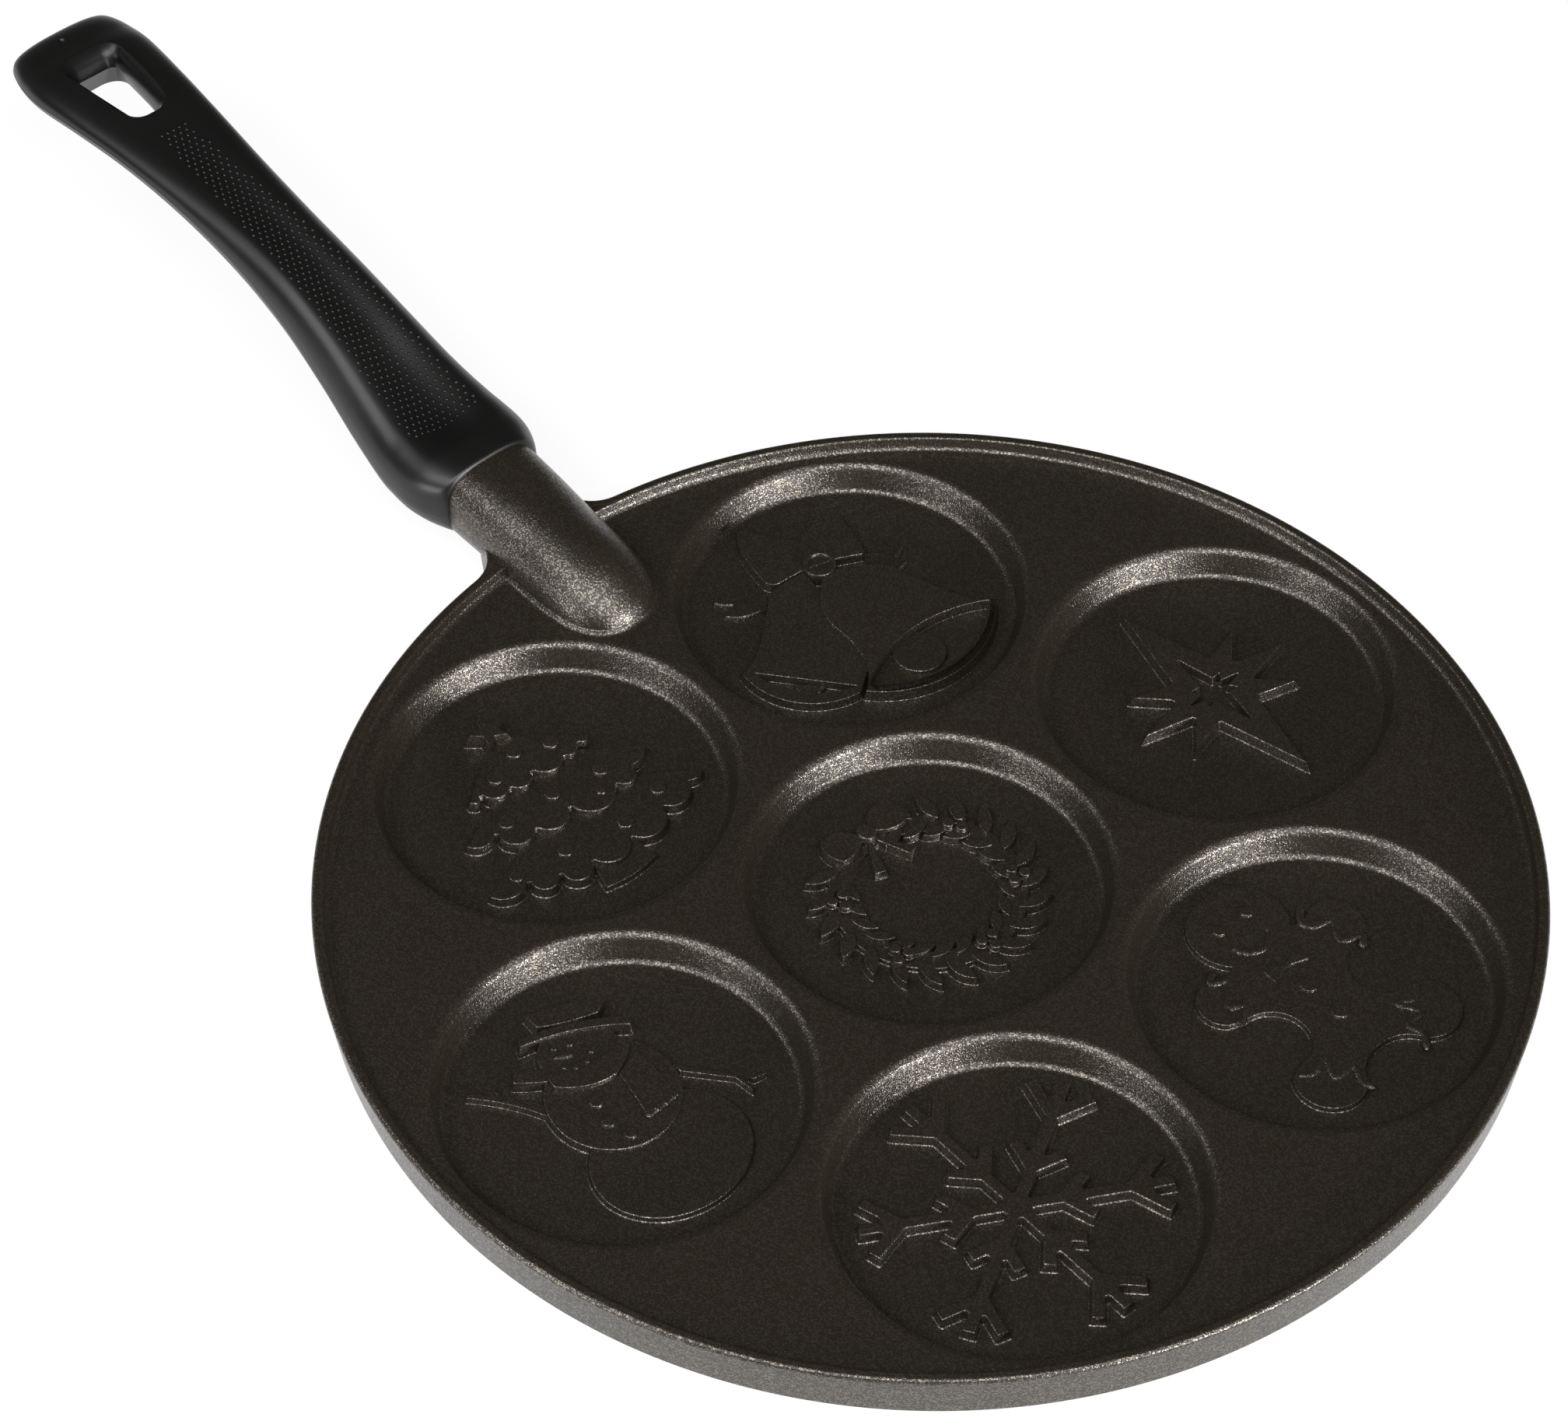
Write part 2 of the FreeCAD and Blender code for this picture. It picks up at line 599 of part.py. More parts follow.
# Sections of the grip: x, half width, rise and fall from the parting line, its height
# above the table, and the share of the dish
GRIP_SECTIONS = [
    (151.0, 13.6, 11.4, 10.8, 12.85, 0.0),
    (155.0, 15.8, 11.5, 10.5, 12.85, 0.0),
    (162.0, 17.4, 11.5, 10.0, 12.85, 0.25),
    (172.0, 17.0, 12.1, 9.5, 13.75, 0.85),
    (184.0, 15.4, 12.5, 9.5, 17.35, 1.0),
    (198.0, 13.7, 11.7, 9.5, 23.55, 0.95),
    (214.0, 12.4, 9.5, 9.5, 30.2, 0.75),
    (232.0, 11.9, 6.8, 9.5, 35.4, 0.6),
    (252.0, 12.5, 4.8, 8.8, 39.1, 0.45),
    (272.0, 14.0, 4.0, 8.1, 41.2, 0.15),
    (290.0, 15.8, 4.4, 7.7, 41.4, 0.0),
    (304.0, 16.8, 5.4, 7.3, 40.2, 0.0),
    (313.0, 16.0, 4.8, 6.2, 39.3, 0.0),
    (318.5, 13.8, 3.4, 4.6, 38.6, 0.0),
    (321.8, 10.2, 2.0, 2.9, 38.0, 0.0),
    (323.2, 6.0, 0.9, 1.3, 37.7, 0.0),
]


def grip_form():
    """The S-curved grip as one smooth skin through its cross-sections."""
    wires = []
    for x, half_width, rise, fall, parting, share in GRIP_SECTIONS:
        ring = superellipse(half_width, rise, fall, parting, (2.5, 2.0), 32, size.grip_dish * share)
        curve = Part.BSplineCurve()
        curve.interpolate([FreeCAD.Vector(x, y, z) for y, z in ring], PeriodicFlag=True)
        wires.append(Part.Wire(curve.toShape()))
    form = doc.addObject("Part::Feature", "grip_form")
    form.Shape = Part.makeLoft(wires, True, False)
    return form


def rounded_ring(corners, radius, level):
    """A level polygon whose corners are rounded."""
    flat = [FreeCAD.Vector(x, y, level) for x, y in corners]
    edges = []
    ends = []
    for before, corner, after in zip(flat[-1:] + flat[:-1], flat, flat[1:] + flat[:1]):
        back = (before - corner).normalize()
        ahead = (after - corner).normalize()
        opening = back.getAngle(ahead)
        run = radius / math.tan(opening / 2)
        middle = corner + (back + ahead).normalize() * (radius / math.sin(opening / 2) - radius)
        ends.append((corner + back * run, middle, corner + ahead * run))
    for place, (first, middle, last) in enumerate(ends):
        edges.append(Part.Arc(first, middle, last).toShape())
        edges.append(Part.LineSegment(last, ends[(place + 1) % len(ends)][0]).toShape())
    return Part.Wire(edges)


def hang_hole_form():
    """A rounded trapezoid that widens from the parting line inside it towards both faces."""
    def ring(level, widening):
        start = size.hang_hole_start - widening
        end = size.hang_hole_end + widening
        narrow = size.hang_hole_narrow + widening
        wide = size.hang_hole_wide + widening
        corners = [(start, -narrow), (end, -wide), (end, wide), (start, narrow)]
        return rounded_ring(corners, 2.4 + widening, level)

    waist = size.hang_hole_waist
    reach = 12.0
    upper = Part.makeLoft([ring(waist, 0.0), ring(waist + reach, size.hang_hole_slant * 2)], True, True)
    lower = Part.makeLoft([ring(waist, 0.0), ring(waist - reach, size.hang_hole_underslant * 2)], True, True)
    form = doc.addObject("Part::Feature", "hang_hole_form")
    form.Shape = upper.fuse(lower)
    return form


def bound(feature, name, length):
    setattr(feature, name, float(length))
    feature.setExpression(name, length.text)


def tenon_socket():
    """The blind socket that takes the tenon with a little play all round."""
    box = doc.addObject("Part::Box", "tenon_socket")
    bound(box, "Length", size.tenon_length + size.tenon_play + 1)
    bound(box, "Width", size.tenon_width + size.tenon_play * 2)
    bound(box, "Height", size.tenon_height + size.tenon_play * 2)
    box.Placement.Base = FreeCAD.Vector(size.stub_end - 1, -(size.tenon_width / 2 + size.tenon_play),
                                        size.tenon_floor - size.tenon_play)
    return box


def upright_cylinder(name, radius, bottom, top):
    cylinder = doc.addObject("Part::Cylinder", name)
    cylinder.Radius = float(radius)
    cylinder.setExpression("Radius", radius.text)
    cylinder.Height = float(top) - float(bottom)
    cylinder.Placement.Base = FreeCAD.Vector(size.screw_place, 0, bottom)
    return cylinder


def build_handle_grip():
    """The grip, less its socket, its counterbored screw hole and its hang hole."""
    cuts = doc.addObject("Part::MultiFuse", "grip_cuts")
    cuts.Shapes = [
        tenon_socket(),
        upright_cylinder("counterbore", size.counterbore_radius, 0, size.counterbore_top),
        upright_cylinder("screw_clearance", size.screw_clearance_radius, 0, size.tenon_floor + 1),
        hang_hole_form(),
    ]
    grip = doc.addObject("Part::Cut", "handle_grip")
    grip.Base = grip_form()
    grip.Tool = cuts
    grip.Label = "handle_grip"
    return grip


def build_handle_screw():
    """Pan-head screw, pointing up, with a cross recess in its head."""
    body = new_body("handle_screw")
    seat = size.counterbore_top - size.washer_thickness
    sketch = new_sketch(body, "screw_profile", "XZ_Plane", (size.screw_place, 0, 0))
    bottom = seat - size.screw_head_height
    draw_profile(sketch, [
        (0, bottom),
        (size.screw_head_radius * 0.62, bottom),
        (size.screw_head_radius * 0.93, bottom + size.screw_head_height * 0.35),
        (size.screw_head_radius, bottom + size.screw_head_height * 0.7),
        (size.screw_head_radius, seat),
        (size.screw_radius, seat),
        (size.screw_radius, seat + size.screw_length - 0.6),
        (size.screw_radius - 0.6, seat + size.screw_length),
        (0, seat + size.screw_length),
    ])
    turn(body, "Revolution", "screw_blank", sketch)
    doc.recompute()
    recess = new_sketch(body, "driver_recess_outline", "XY_Plane", (size.screw_place, 0, bottom))
    half = float(size.screw_recess_width) / 2
    reach = 2.3
    quarter = [(reach, -half), (reach, half), (half, half)]
    cross = []
    for step in range(4):
        angle = math.radians(90 * step)
        for x, y in quarter:
            cross.append((x * math.cos(angle) - y * math.sin(angle),
                          x * math.sin(angle) + y * math.cos(angle), 0))
    draw_outline(recess, cross)
    pocket(body, "driver_recess", recess, size.screw_recess_depth, upwards=True)
    return body


def build_lock_washer():
    """Split spring washer between the screw's head and the grip."""
    body = new_body("lock_washer")
    level = size.counterbore_top - size.washer_thickness
    ring = new_sketch(body, "washer_outline", "XY_Plane", (size.screw_place, 0, level))
    draw_circle(ring, 0, 0, size.washer_radius)
    draw_circle(ring, 0, 0, size.washer_bore_radius)
    pad(body, "washer_ring", ring, size.washer_thickness)
    doc.recompute()
    split = new_sketch(body, "split_outline", "XY_Plane", (size.screw_place, 0, level))
    half = size.washer_gap / 2
    draw_profile(split, [(-half, size.washer_bore_radius - 1), (half, size.washer_bore_radius - 1),
                         (half, size.washer_radius + 1), (-half, size.washer_radius + 1)])
    pocket(body, "washer_split", split, size.washer_thickness, upwards=True)
    return body


def check(document, pieces):
    """Stops before anything is written if a feature failed or a piece isn't one valid solid."""
    for item in document.Objects:
        if "Invalid" in item.State or "Error" in item.State:
            raise RuntimeError(f"{item.Name} failed: {item.getStatusString()}")
    for piece in pieces:
        shape = piece.Shape
        if shape.isNull() or not shape.isValid() or len(shape.Solids) != 1:
            raise RuntimeError(f"{piece.Label} isn't one valid solid")
        print(f"{piece.Label}: {shape.Volume / 1000:.2f} cm3, {len(shape.Faces)} faces")


PIECES = [build_pan_casting(), build_handle_grip(), build_handle_screw(), build_lock_washer()]
doc.recompute()
check(doc, PIECES)
os.makedirs("parts", exist_ok=True)
for piece in PIECES:
    piece.Shape.exportStep(f"parts/{piece.Label}.step")
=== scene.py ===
# %% [markdown]
# # A cast pancake pan
# The pan is one aluminium casting under a sparkling black coat, with a moulded grip screwed to
# its stub. The CAD model gives the frame: it is loaded first, and every piece made here sits in
# its metres. Lengths below are written in millimetres, because a caster thinks in them, and each
# finished mesh is scaled down once.

# %% Load the frame
import math

import bmesh
import bpy
from mathutils import Matrix, Vector
from mathutils.bvhtree import BVHTree


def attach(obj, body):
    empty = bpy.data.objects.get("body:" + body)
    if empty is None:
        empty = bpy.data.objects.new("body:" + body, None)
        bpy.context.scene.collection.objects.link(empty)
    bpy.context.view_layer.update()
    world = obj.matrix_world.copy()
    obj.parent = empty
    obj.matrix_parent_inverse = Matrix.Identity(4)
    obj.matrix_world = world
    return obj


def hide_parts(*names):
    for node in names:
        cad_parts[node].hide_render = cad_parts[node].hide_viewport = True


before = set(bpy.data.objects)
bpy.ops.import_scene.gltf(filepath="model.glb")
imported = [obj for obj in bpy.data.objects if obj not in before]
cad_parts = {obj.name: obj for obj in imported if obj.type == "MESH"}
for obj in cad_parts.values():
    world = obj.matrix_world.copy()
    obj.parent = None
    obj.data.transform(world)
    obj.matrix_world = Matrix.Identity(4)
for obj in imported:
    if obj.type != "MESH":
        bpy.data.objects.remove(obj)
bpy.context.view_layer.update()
scene = bpy.context.scene
MM = 0.001

# %% [markdown]
# # The camera
# The rim and the seven cups are ellipses in the photograph, and only one place of the camera
# gives all eight of them at once. That place is written down here as a point that the camera
# looks at, a distance and three angles.

# %% Camera
LOOK_AT = Vector((0.05598, -0.00708, 0.00925))
DISTANCE = 1.06204
LENS = 109.42
ELEVATION, AZIMUTH, ROLL = 0.8384, 2.4352, -0.0116

back = Vector((math.cos(AZIMUTH) * math.cos(ELEVATION), math.sin(AZIMUTH) * math.cos(ELEVATION), math.sin(ELEVATION)))
level_right = Vector((-math.sin(AZIMUTH), math.cos(AZIMUTH), 0))
level_up = back.cross(level_right)
right = level_right * math.cos(ROLL) + level_up * math.sin(ROLL)
up = level_up * math.cos(ROLL) - level_right * math.sin(ROLL)

camera_data = bpy.data.cameras.new("camera")
camera_data.lens = LENS
camera_data.sensor_width = 36
camera = bpy.data.objects.new("camera", camera_data)
camera.matrix_world = Matrix.Translation(LOOK_AT + back * DISTANCE) @ Matrix((right, up, back)).transposed().to_4x4()
scene.collection.objects.link(camera)
scene.camera = camera
scene.view_settings.view_transform = "Standard"
print("the camera stands", round(DISTANCE * 1000), "mm away")

# %% [markdown]
# # Light and floor
# A black pan is drawn by what it mirrors. A broad soft box stands low on the camera's side, so
# the walls that face it shine, and the flat plate, which mirrors the room behind, stays dark. The
# floor is plain white paper.

# %% World and lamps
world = bpy.data.worlds.new("studio")
world.use_nodes = True
world.node_tree.nodes["Background"].inputs["Color"].default_value = (1.0, 0.97, 0.92, 1)
world.node_tree.nodes["Background"].inputs["Strength"].default_value = 0.05
scene.world = world


def soft_box(name, azimuth, elevation, distance, width, height, power):
    """An area lamp that faces the pan from a compass direction and a height angle, in degrees."""
    a, e = math.radians(azimuth), math.radians(elevation)
    away = Vector((math.cos(a) * math.cos(e), math.sin(a) * math.cos(e), math.sin(e)))
    data = bpy.data.lights.new(name, "AREA")
    data.shape = "RECTANGLE"
    data.size, data.size_y = width, height
    data.energy = power
    lamp = bpy.data.objects.new(name, data)
    lamp.location = away * distance
    lamp.rotation_euler = away.to_track_quat("Z", "Y").to_euler()
    scene.collection.objects.link(lamp)
    return lamp


soft_box("right_box", 185, 9, 1.5, 0.9, 0.34, 29)
soft_box("front_box", 150, 56, 1.6, 1.5, 0.9, 23)
soft_box("left_box", 84, 46, 1.7, 1.3, 0.7, 12)
soft_box("far_left_box", 44, 48, 1.7, 0.8, 0.7, 3.2)
soft_box("low_left_box", 82, 8, 1.6, 0.7, 0.3, 7)

# %% Floor
floor_mesh = bpy.data.meshes.new("floor")
shape = bmesh.new()
bmesh.ops.create_grid(shape, x_segments=1, y_segments=1, size=4)
bmesh.ops.translate(shape, vec=(0, 0, -0.0002), verts=shape.verts)
shape.to_mesh(floor_mesh)
shape.free()
floor = bpy.data.objects.new("floor", floor_mesh)
scene.collection.objects.link(floor)

paper = bpy.data.materials.new("paper")
paper.use_nodes = True
nodes, links = paper.node_tree.nodes, paper.node_tree.links
nodes.clear()
seen = nodes.new("ShaderNodeLightPath")
either = nodes.new("ShaderNodeMath")
either.operation = "MAXIMUM"
share = nodes.new("ShaderNodeMath")
share.operation = "MULTIPLY"
share.inputs[1].default_value = 0.85
dull = nodes.new("ShaderNodeBsdfDiffuse")
dull.inputs["Color"].default_value = (0.86, 0.86, 0.86, 1)
white = nodes.new("ShaderNodeEmission")
white.inputs["Strength"].default_value = 1.05
blend = nodes.new("ShaderNodeMixShader")
out = nodes.new("ShaderNodeOutputMaterial")
links.new(seen.outputs["Is Camera Ray"], either.inputs[0])
links.new(seen.outputs["Is Glossy Ray"], either.inputs[1])
links.new(either.outputs[0], share.inputs[0])
links.new(share.outputs[0], blend.inputs["Fac"])
links.new(dull.outputs[0], blend.inputs[1])
links.new(white.outputs[0], blend.inputs[2])
links.new(blend.outputs[0], out.inputs["Surface"])
floor_mesh.materials.append(paper)

# %% [markdown]
# # Finishes
# The casting carries a sprayed non-stick coat: nearly black, a little brown, fine-pebbled, with
# metal flakes in it. The pebbles break every highlight into grains. The grip is moulded phenolic:
# satin black with a much finer grain.

# %% Pebble group
def pebble_group():
    """Fine sprayed grain: a height for the bump, flakes, and slow blotches."""
    group = bpy.data.node_groups.new("sprayed_grain", "ShaderNodeTree")
    for name in ("Grain Scale", "Flake Scale", "Flake Share"):
        group.interface.new_socket(name, in_out="INPUT", socket_type="NodeSocketFloat")
    for name in ("Height", "Flakes", "Blotches"):
        group.interface.new_socket(name, in_out="OUTPUT", socket_type="NodeSocketFloat")
    make, join = group.nodes.new, group.links.new
    inside, outside = make("NodeGroupInput"), make("NodeGroupOutput")
    place = make("ShaderNodeTexCoord")
    grain = make("ShaderNodeTexNoise")
    grain.inputs["Detail"].default_value = 2.0
    grain.inputs["Roughness"].default_value = 0.6
    flakes = make("ShaderNodeTexVoronoi")
    above = make("ShaderNodeMath")
    above.operation = "LESS_THAN"
    blotches = make("ShaderNodeTexNoise")
    blotches.inputs["Scale"].default_value = 45
    blotches.inputs["Detail"].default_value = 3.0
    split = make("ShaderNodeSeparateColor")
    join(place.outputs["Object"], grain.inputs["Vector"])
    join(place.outputs["Object"], flakes.inputs["Vector"])
    join(place.outputs["Object"], blotches.inputs["Vector"])
    join(inside.outputs["Grain Scale"], grain.inputs["Scale"])
    join(inside.outputs["Flake Scale"], flakes.inputs["Scale"])
    join(flakes.outputs["Color"], split.inputs["Color"])
    join(split.outputs["Red"], above.inputs[0])
    join(inside.outputs["Flake Share"], above.inputs[1])
    join(grain.outputs["Fac"], outside.inputs["Height"])
    join(above.outputs[0], outside.inputs["Flakes"])
    join(blotches.outputs["Fac"], outside.inputs["Blotches"])
    return group


SPRAYED_GRAIN = pebble_group()


def finish_of(name, dark, light, flake, roughness, grain, bump, metallic_share=0.0, flake_share=0.0, flake_scale=3000,
              flake_polish=0.0, specular=0.5):
    """A coated or moulded surface: two close colours, grain in its bump, flakes if it has any."""
    material = bpy.data.materials.new(name)
    material.use_nodes = True
    make, join = material.node_tree.nodes.new, material.node_tree.links.new
    skin = material.node_tree.nodes["Principled BSDF"]
    skin.inputs["Specular IOR Level"].default_value = specular
    spray = make("ShaderNodeGroup")
    spray.node_tree = SPRAYED_GRAIN
    spray.inputs["Grain Scale"].default_value = grain
    spray.inputs["Flake Scale"].default_value = flake_scale
    spray.inputs["Flake Share"].default_value = flake_share
    tint = make("ShaderNodeMix")
    tint.data_type = "RGBA"
    tint.inputs["A"].default_value = (*dark, 1)
    tint.inputs["B"].default_value = (*light, 1)
    flaked = make("ShaderNodeMix")
    flaked.data_type = "RGBA"
    flaked.inputs["B"].default_value = (*flake, 1)
    dull = make("ShaderNodeMapRange")
    dull.inputs["To Min"].default_value = roughness - 0.04
    dull.inputs["To Max"].default_value = roughness + 0.04
    polished = make("ShaderNodeMath")
    polished.operation = "MULTIPLY_ADD"
    polished.inputs[1].default_value = -flake_polish
    relief = make("ShaderNodeBump")
    relief.inputs["Strength"].default_value = 1.0
    relief.inputs["Distance"].default_value = bump
    metal = make("ShaderNodeMath")
    metal.operation = "MULTIPLY"
    metal.inputs[1].default_value = metallic_share
    join(spray.outputs["Blotches"], tint.inputs["Factor"])
    join(spray.outputs["Flakes"], flaked.inputs["Factor"])
    join(tint.outputs["Result"], flaked.inputs["A"])
    join(flaked.outputs["Result"], skin.inputs["Base Color"])
    join(spray.outputs["Flakes"], metal.inputs[0])
    join(metal.outputs[0], skin.inputs["Metallic"])
    join(spray.outputs["Blotches"], dull.inputs["Value"])
    join(spray.outputs["Flakes"], polished.inputs[0])
    join(dull.outputs["Result"], polished.inputs[2])
    join(polished.outputs[0], skin.inputs["Roughness"])
    join(spray.outputs["Height"], relief.inputs["Height"])
    join(relief.outputs["Normal"], skin.inputs["Normal"])
    return material


COAT = finish_of("flaked_coat", (0.0125, 0.0098, 0.0060), (0.016, 0.0126, 0.0078), (0.17, 0.15, 0.125),
                 0.275, 2600, 0.00012, metallic_share=0.9, flake_share=0.33, flake_scale=3400, flake_polish=0.06,
                 specular=0.5)
PHENOLIC = finish_of("satin_phenolic", (0.004, 0.004, 0.004), (0.007, 0.0068, 0.0065), (0.1, 0.1, 0.1),
                     0.34, 3500, 0.000012, specular=0.45)
ZINC = finish_of("zinc_plate", (0.52, 0.53, 0.55), (0.62, 0.62, 0.62), (0.8, 0.8, 0.82),
                 0.32, 2500, 0.000006, metallic_share=1.0, flake_share=1.0)

# %% [markdown]
# # Helpers of the pattern shop
# Three habits make most of this pan. A section with rounded corners is spun into a ring, closed
# loops of points are bridged into a skin, and an outline is filled and inset in small steps, which
# gives a casting's drafted walls with a hollow at the foot and a round edge on top.

# %% Sections, loops and finishing
def rounded(corners, steps=5):
    """Points of a section through (across, height, radius) corners, each rounded by its radius."""
    points = []
    last = len(corners) - 1
    for place, (across, height, radius) in enumerate(corners):
        here = Vector((across, height))
        if radius == 0 or place in (0, last):
            points.append(here)
            continue
        before = (Vector(corners[place - 1][:2]) - here).normalized()
        after = (Vector(corners[place + 1][:2]) - here).normalized()
        half = before.angle(after) / 2
        centre = here + (before + after).normalized() * (radius / math.sin(half))
        first = here + before * (radius / math.tan(half)) - centre
        final = here + after * (radius / math.tan(half)) - centre
        swing = first.angle_signed(final)
        for step in range(steps + 1):
            turn = Matrix.Rotation(-swing * step / steps, 2)
            points.append(centre + turn @ first)
    return points


def joined(shape, other, matrix=Matrix()):
    """Adds another small shape, placed by a matrix, and keeps that shape for the next copy."""
    blank = bpy.data.meshes.new("blank")
    other.to_mesh(blank)
    blank.transform(matrix)
    shape.from_mesh(blank)
    bpy.data.meshes.remove(blank)


def turned(points, steps, start=0.0, sweep=360.0):
    """Spins a section of (radius, height) points about the upright axis."""
    ring = bmesh.new()
    line = [ring.verts.new((p[0], 0, p[1])) for p in points]
    edges = [ring.edges.new(pair) for pair in zip(line, line[1:])]
    bmesh.ops.rotate(ring, verts=line, matrix=Matrix.Rotation(math.radians(start), 3, "Z"))
    bmesh.ops.spin(ring, geom=line + edges, cent=(0, 0, 0), axis=(0, 0, 1),
                   angle=math.radians(sweep), steps=steps, use_merge=abs(sweep - 360) < 1e-6)
    return ring


def settled(shape, name, material, stands_for, turned_right=False, crease=35):
    """Writes a shape as a finished piece: merged, facing outwards, scaled to metres, riding the pan."""
    bmesh.ops.remove_doubles(shape, verts=shape.verts, dist=0.002)
    bmesh.ops.dissolve_degenerate(shape, edges=shape.edges, dist=0.001)
    if not turned_right:
        bmesh.ops.recalc_face_normals(shape, faces=shape.faces)
    bmesh.ops.scale(shape, vec=(MM, MM, MM), verts=shape.verts)
    mesh = bpy.data.meshes.new(name)
    shape.to_mesh(mesh)
    shape.free()
    mesh.shade_smooth()
    mesh.set_sharp_from_angle(angle=math.radians(crease))
    mesh.materials.append(material)
    piece = bpy.data.objects.new(name, mesh)
    scene.collection.objects.link(piece)
    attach(piece, "root")
    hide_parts(stands_for)
    print(name, "has", len(mesh.polygons), "faces")
    return piece


def keep_flats_flat(piece):
    """Lets large flat faces rule the shading beside their rounded edges."""
    weighted = piece.modifiers.new("flat_shading", "WEIGHTED_NORMAL")
    weighted.weight = 100
    weighted.keep_sharp = True


# %% [markdown]
# # The plate, its rim and its skirt
# The real plate is 3 mm of metal with a low rim round it and a skirt below. Its section is spun
# round the middle. Towards the grip the skirt sweeps out in two hollow curves of 10 mm radius that
# run into the stub's flanks, so the skirt's points there are pushed outwards after the spin.

# %% Rim and skirt
PLATE = 9.25
UNDERSIDE = 6.25
RIM_RADIUS = 133.35
RIM_TOP = 12.32
RIM_START = 128.72
SKIRT_INSIDE = 126.5
CUP_FLOOR = 2.75
SWEEP_RADIUS = 10.0
STUB_FLANK = 12.1

rim_section = rounded([
    (RIM_START, PLATE, 0), (130.2, PLATE, 1.5), (130.8, RIM_TOP, 0.7), (RIM_RADIUS, RIM_TOP, 1.0),
    (131.9, 0.0, 0.45), (129.3, 0.0, 0.45), (129.75, UNDERSIDE, 1.0), (SKIRT_INSIDE, UNDERSIDE, 0),
], 6)

pan = bmesh.new()
joined(pan, turned(rim_section, 64, start=-16, sweep=32))
joined(pan, turned(rim_section, 328, start=16, sweep=328))
bmesh.ops.remove_doubles(pan, verts=pan.verts, dist=0.01)

sweep_centre = Vector((math.sqrt((RIM_RADIUS + SWEEP_RADIUS) ** 2 - (STUB_FLANK + SWEEP_RADIUS) ** 2),
                       STUB_FLANK + SWEEP_RADIUS))
sweep_angle = sweep_centre.angle_signed(Vector((1, 0)))


def reach(angle):
    """How far the casting's outline reaches from the middle in a direction near the grip."""
    off = abs(sweep_angle) - abs(angle)
    if off <= 0:
        return RIM_RADIUS
    far = sweep_centre.length
    inside = SWEEP_RADIUS ** 2 - (far * math.sin(off)) ** 2
    touch = math.atan2(STUB_FLANK, sweep_centre.x)
    if abs(angle) > touch and inside > 0:
        return far * math.cos(off) - math.sqrt(inside)
    return min(STUB_FLANK / max(math.sin(abs(angle)), 1e-6), 143.0)


for vert in pan.verts:
    angle = math.atan2(vert.co.y, vert.co.x)
    radius = vert.co.xy.length
    if abs(angle) < abs(sweep_angle) and radius > 131.0:
        grown = radius + reach(angle) - RIM_RADIUS
        vert.co.xy = vert.co.xy.normalized() * grown
print("the skirt sweeps out to", round(reach(0.08), 1), "mm")

# %% [markdown]
# # Seven cups
# Each cup is a shallow dish 83 mm wide at its mouth, with walls 22 degrees off upright and 1.5 mm
# roundings. Underneath, each ends in a flat pad that stands on the hob. One section is spun seven
# times, above and below, and the plate is filled round the seven mouths.

# %% Cups and plate
CUP_PITCH = 86.33
CUPS = [(0.0, 0.0)] + [
    (CUP_PITCH * math.cos(math.radians(30 + 60 * n)), CUP_PITCH * math.sin(math.radians(30 + 60 * n)))
    for n in range(6)
]
MIDDLE, TREE, SNOWMAN, SNOWFLAKE, GINGERBREAD, STAR, BELLS = range(7)
cup_section = rounded([(36.4, CUP_FLOOR, 0), (37.91, CUP_FLOOR, 2.0), (40.54, PLATE, 2.6), (42.34, PLATE, 0)], 8)
pad_section = rounded([(38.0, 0.0, 0), (39.39, 0.0, 0.9), (41.91, UNDERSIDE, 0.8), (42.8, UNDERSIDE, 0)], 4)


def open_ring(shape, height):
    """The open edges at one level."""
    return [e for e in shape.edges if e.is_boundary and all(abs(v.co.z - height) < 0.01 for v in e.verts)]


cup = turned(cup_section, 160)
bmesh.ops.contextual_create(cup, geom=open_ring(cup, CUP_FLOOR))
cup_pad = turned(pad_section, 120)
bmesh.ops.contextual_create(cup_pad, geom=open_ring(cup_pad, 0.0))
for centre in CUPS:
    place = Matrix.Translation((centre[0], centre[1], 0))
    joined(pan, cup, place)
    joined(pan, cup_pad, place)
top_edges = open_ring(pan, PLATE)
under_edges = open_ring(pan, UNDERSIDE)
bmesh.ops.triangle_fill(pan, edges=top_edges, use_beauty=True, normal=(0, 0, 1))
bmesh.ops.triangle_fill(pan, edges=under_edges, use_beauty=True, normal=(0, 0, 1))
print("open edges left in the pan:", sum(edge.is_boundary for edge in pan.edges))
pan_body = settled(pan, "pan_body", COAT, "pan_casting")
keep_flats_flat(pan_body)

# %% [markdown]
# # Skins through cross-sections
# The stub and the grip are both drawn as a row of cross-sections, as a pattern maker cuts
# templates. A smooth curve runs through every number of the row, so a few templates give a fair
# skin. Each section is a circle that is squared and stretched into shape.

# %% Lofting helpers
def faired(rows, parts):
    """Rows of numbers with smooth steps put between them (a Catmull-Rom curve in every column)."""
    padded = [tuple(2 * a - b for a, b in zip(rows[0], rows[1]))] + rows
    padded += [tuple(2 * a - b for a, b in zip(rows[-1], rows[-2]))]
    result = []
    for place in range(1, len(padded) - 2):
        p0, p1, p2, p3 = padded[place - 1:place + 3]
        for part in range(parts):
            t = part / parts
            result.append(tuple(
                0.5 * (2 * b + (c - a) * t + (2 * a - 5 * b + 4 * c - d) * t * t + (3 * b - a - 3 * c + d) * t ** 3)
                for a, b, c, d in zip(p0, p1, p2, p3)
            ))
    result.append(rows[-1])
    return result


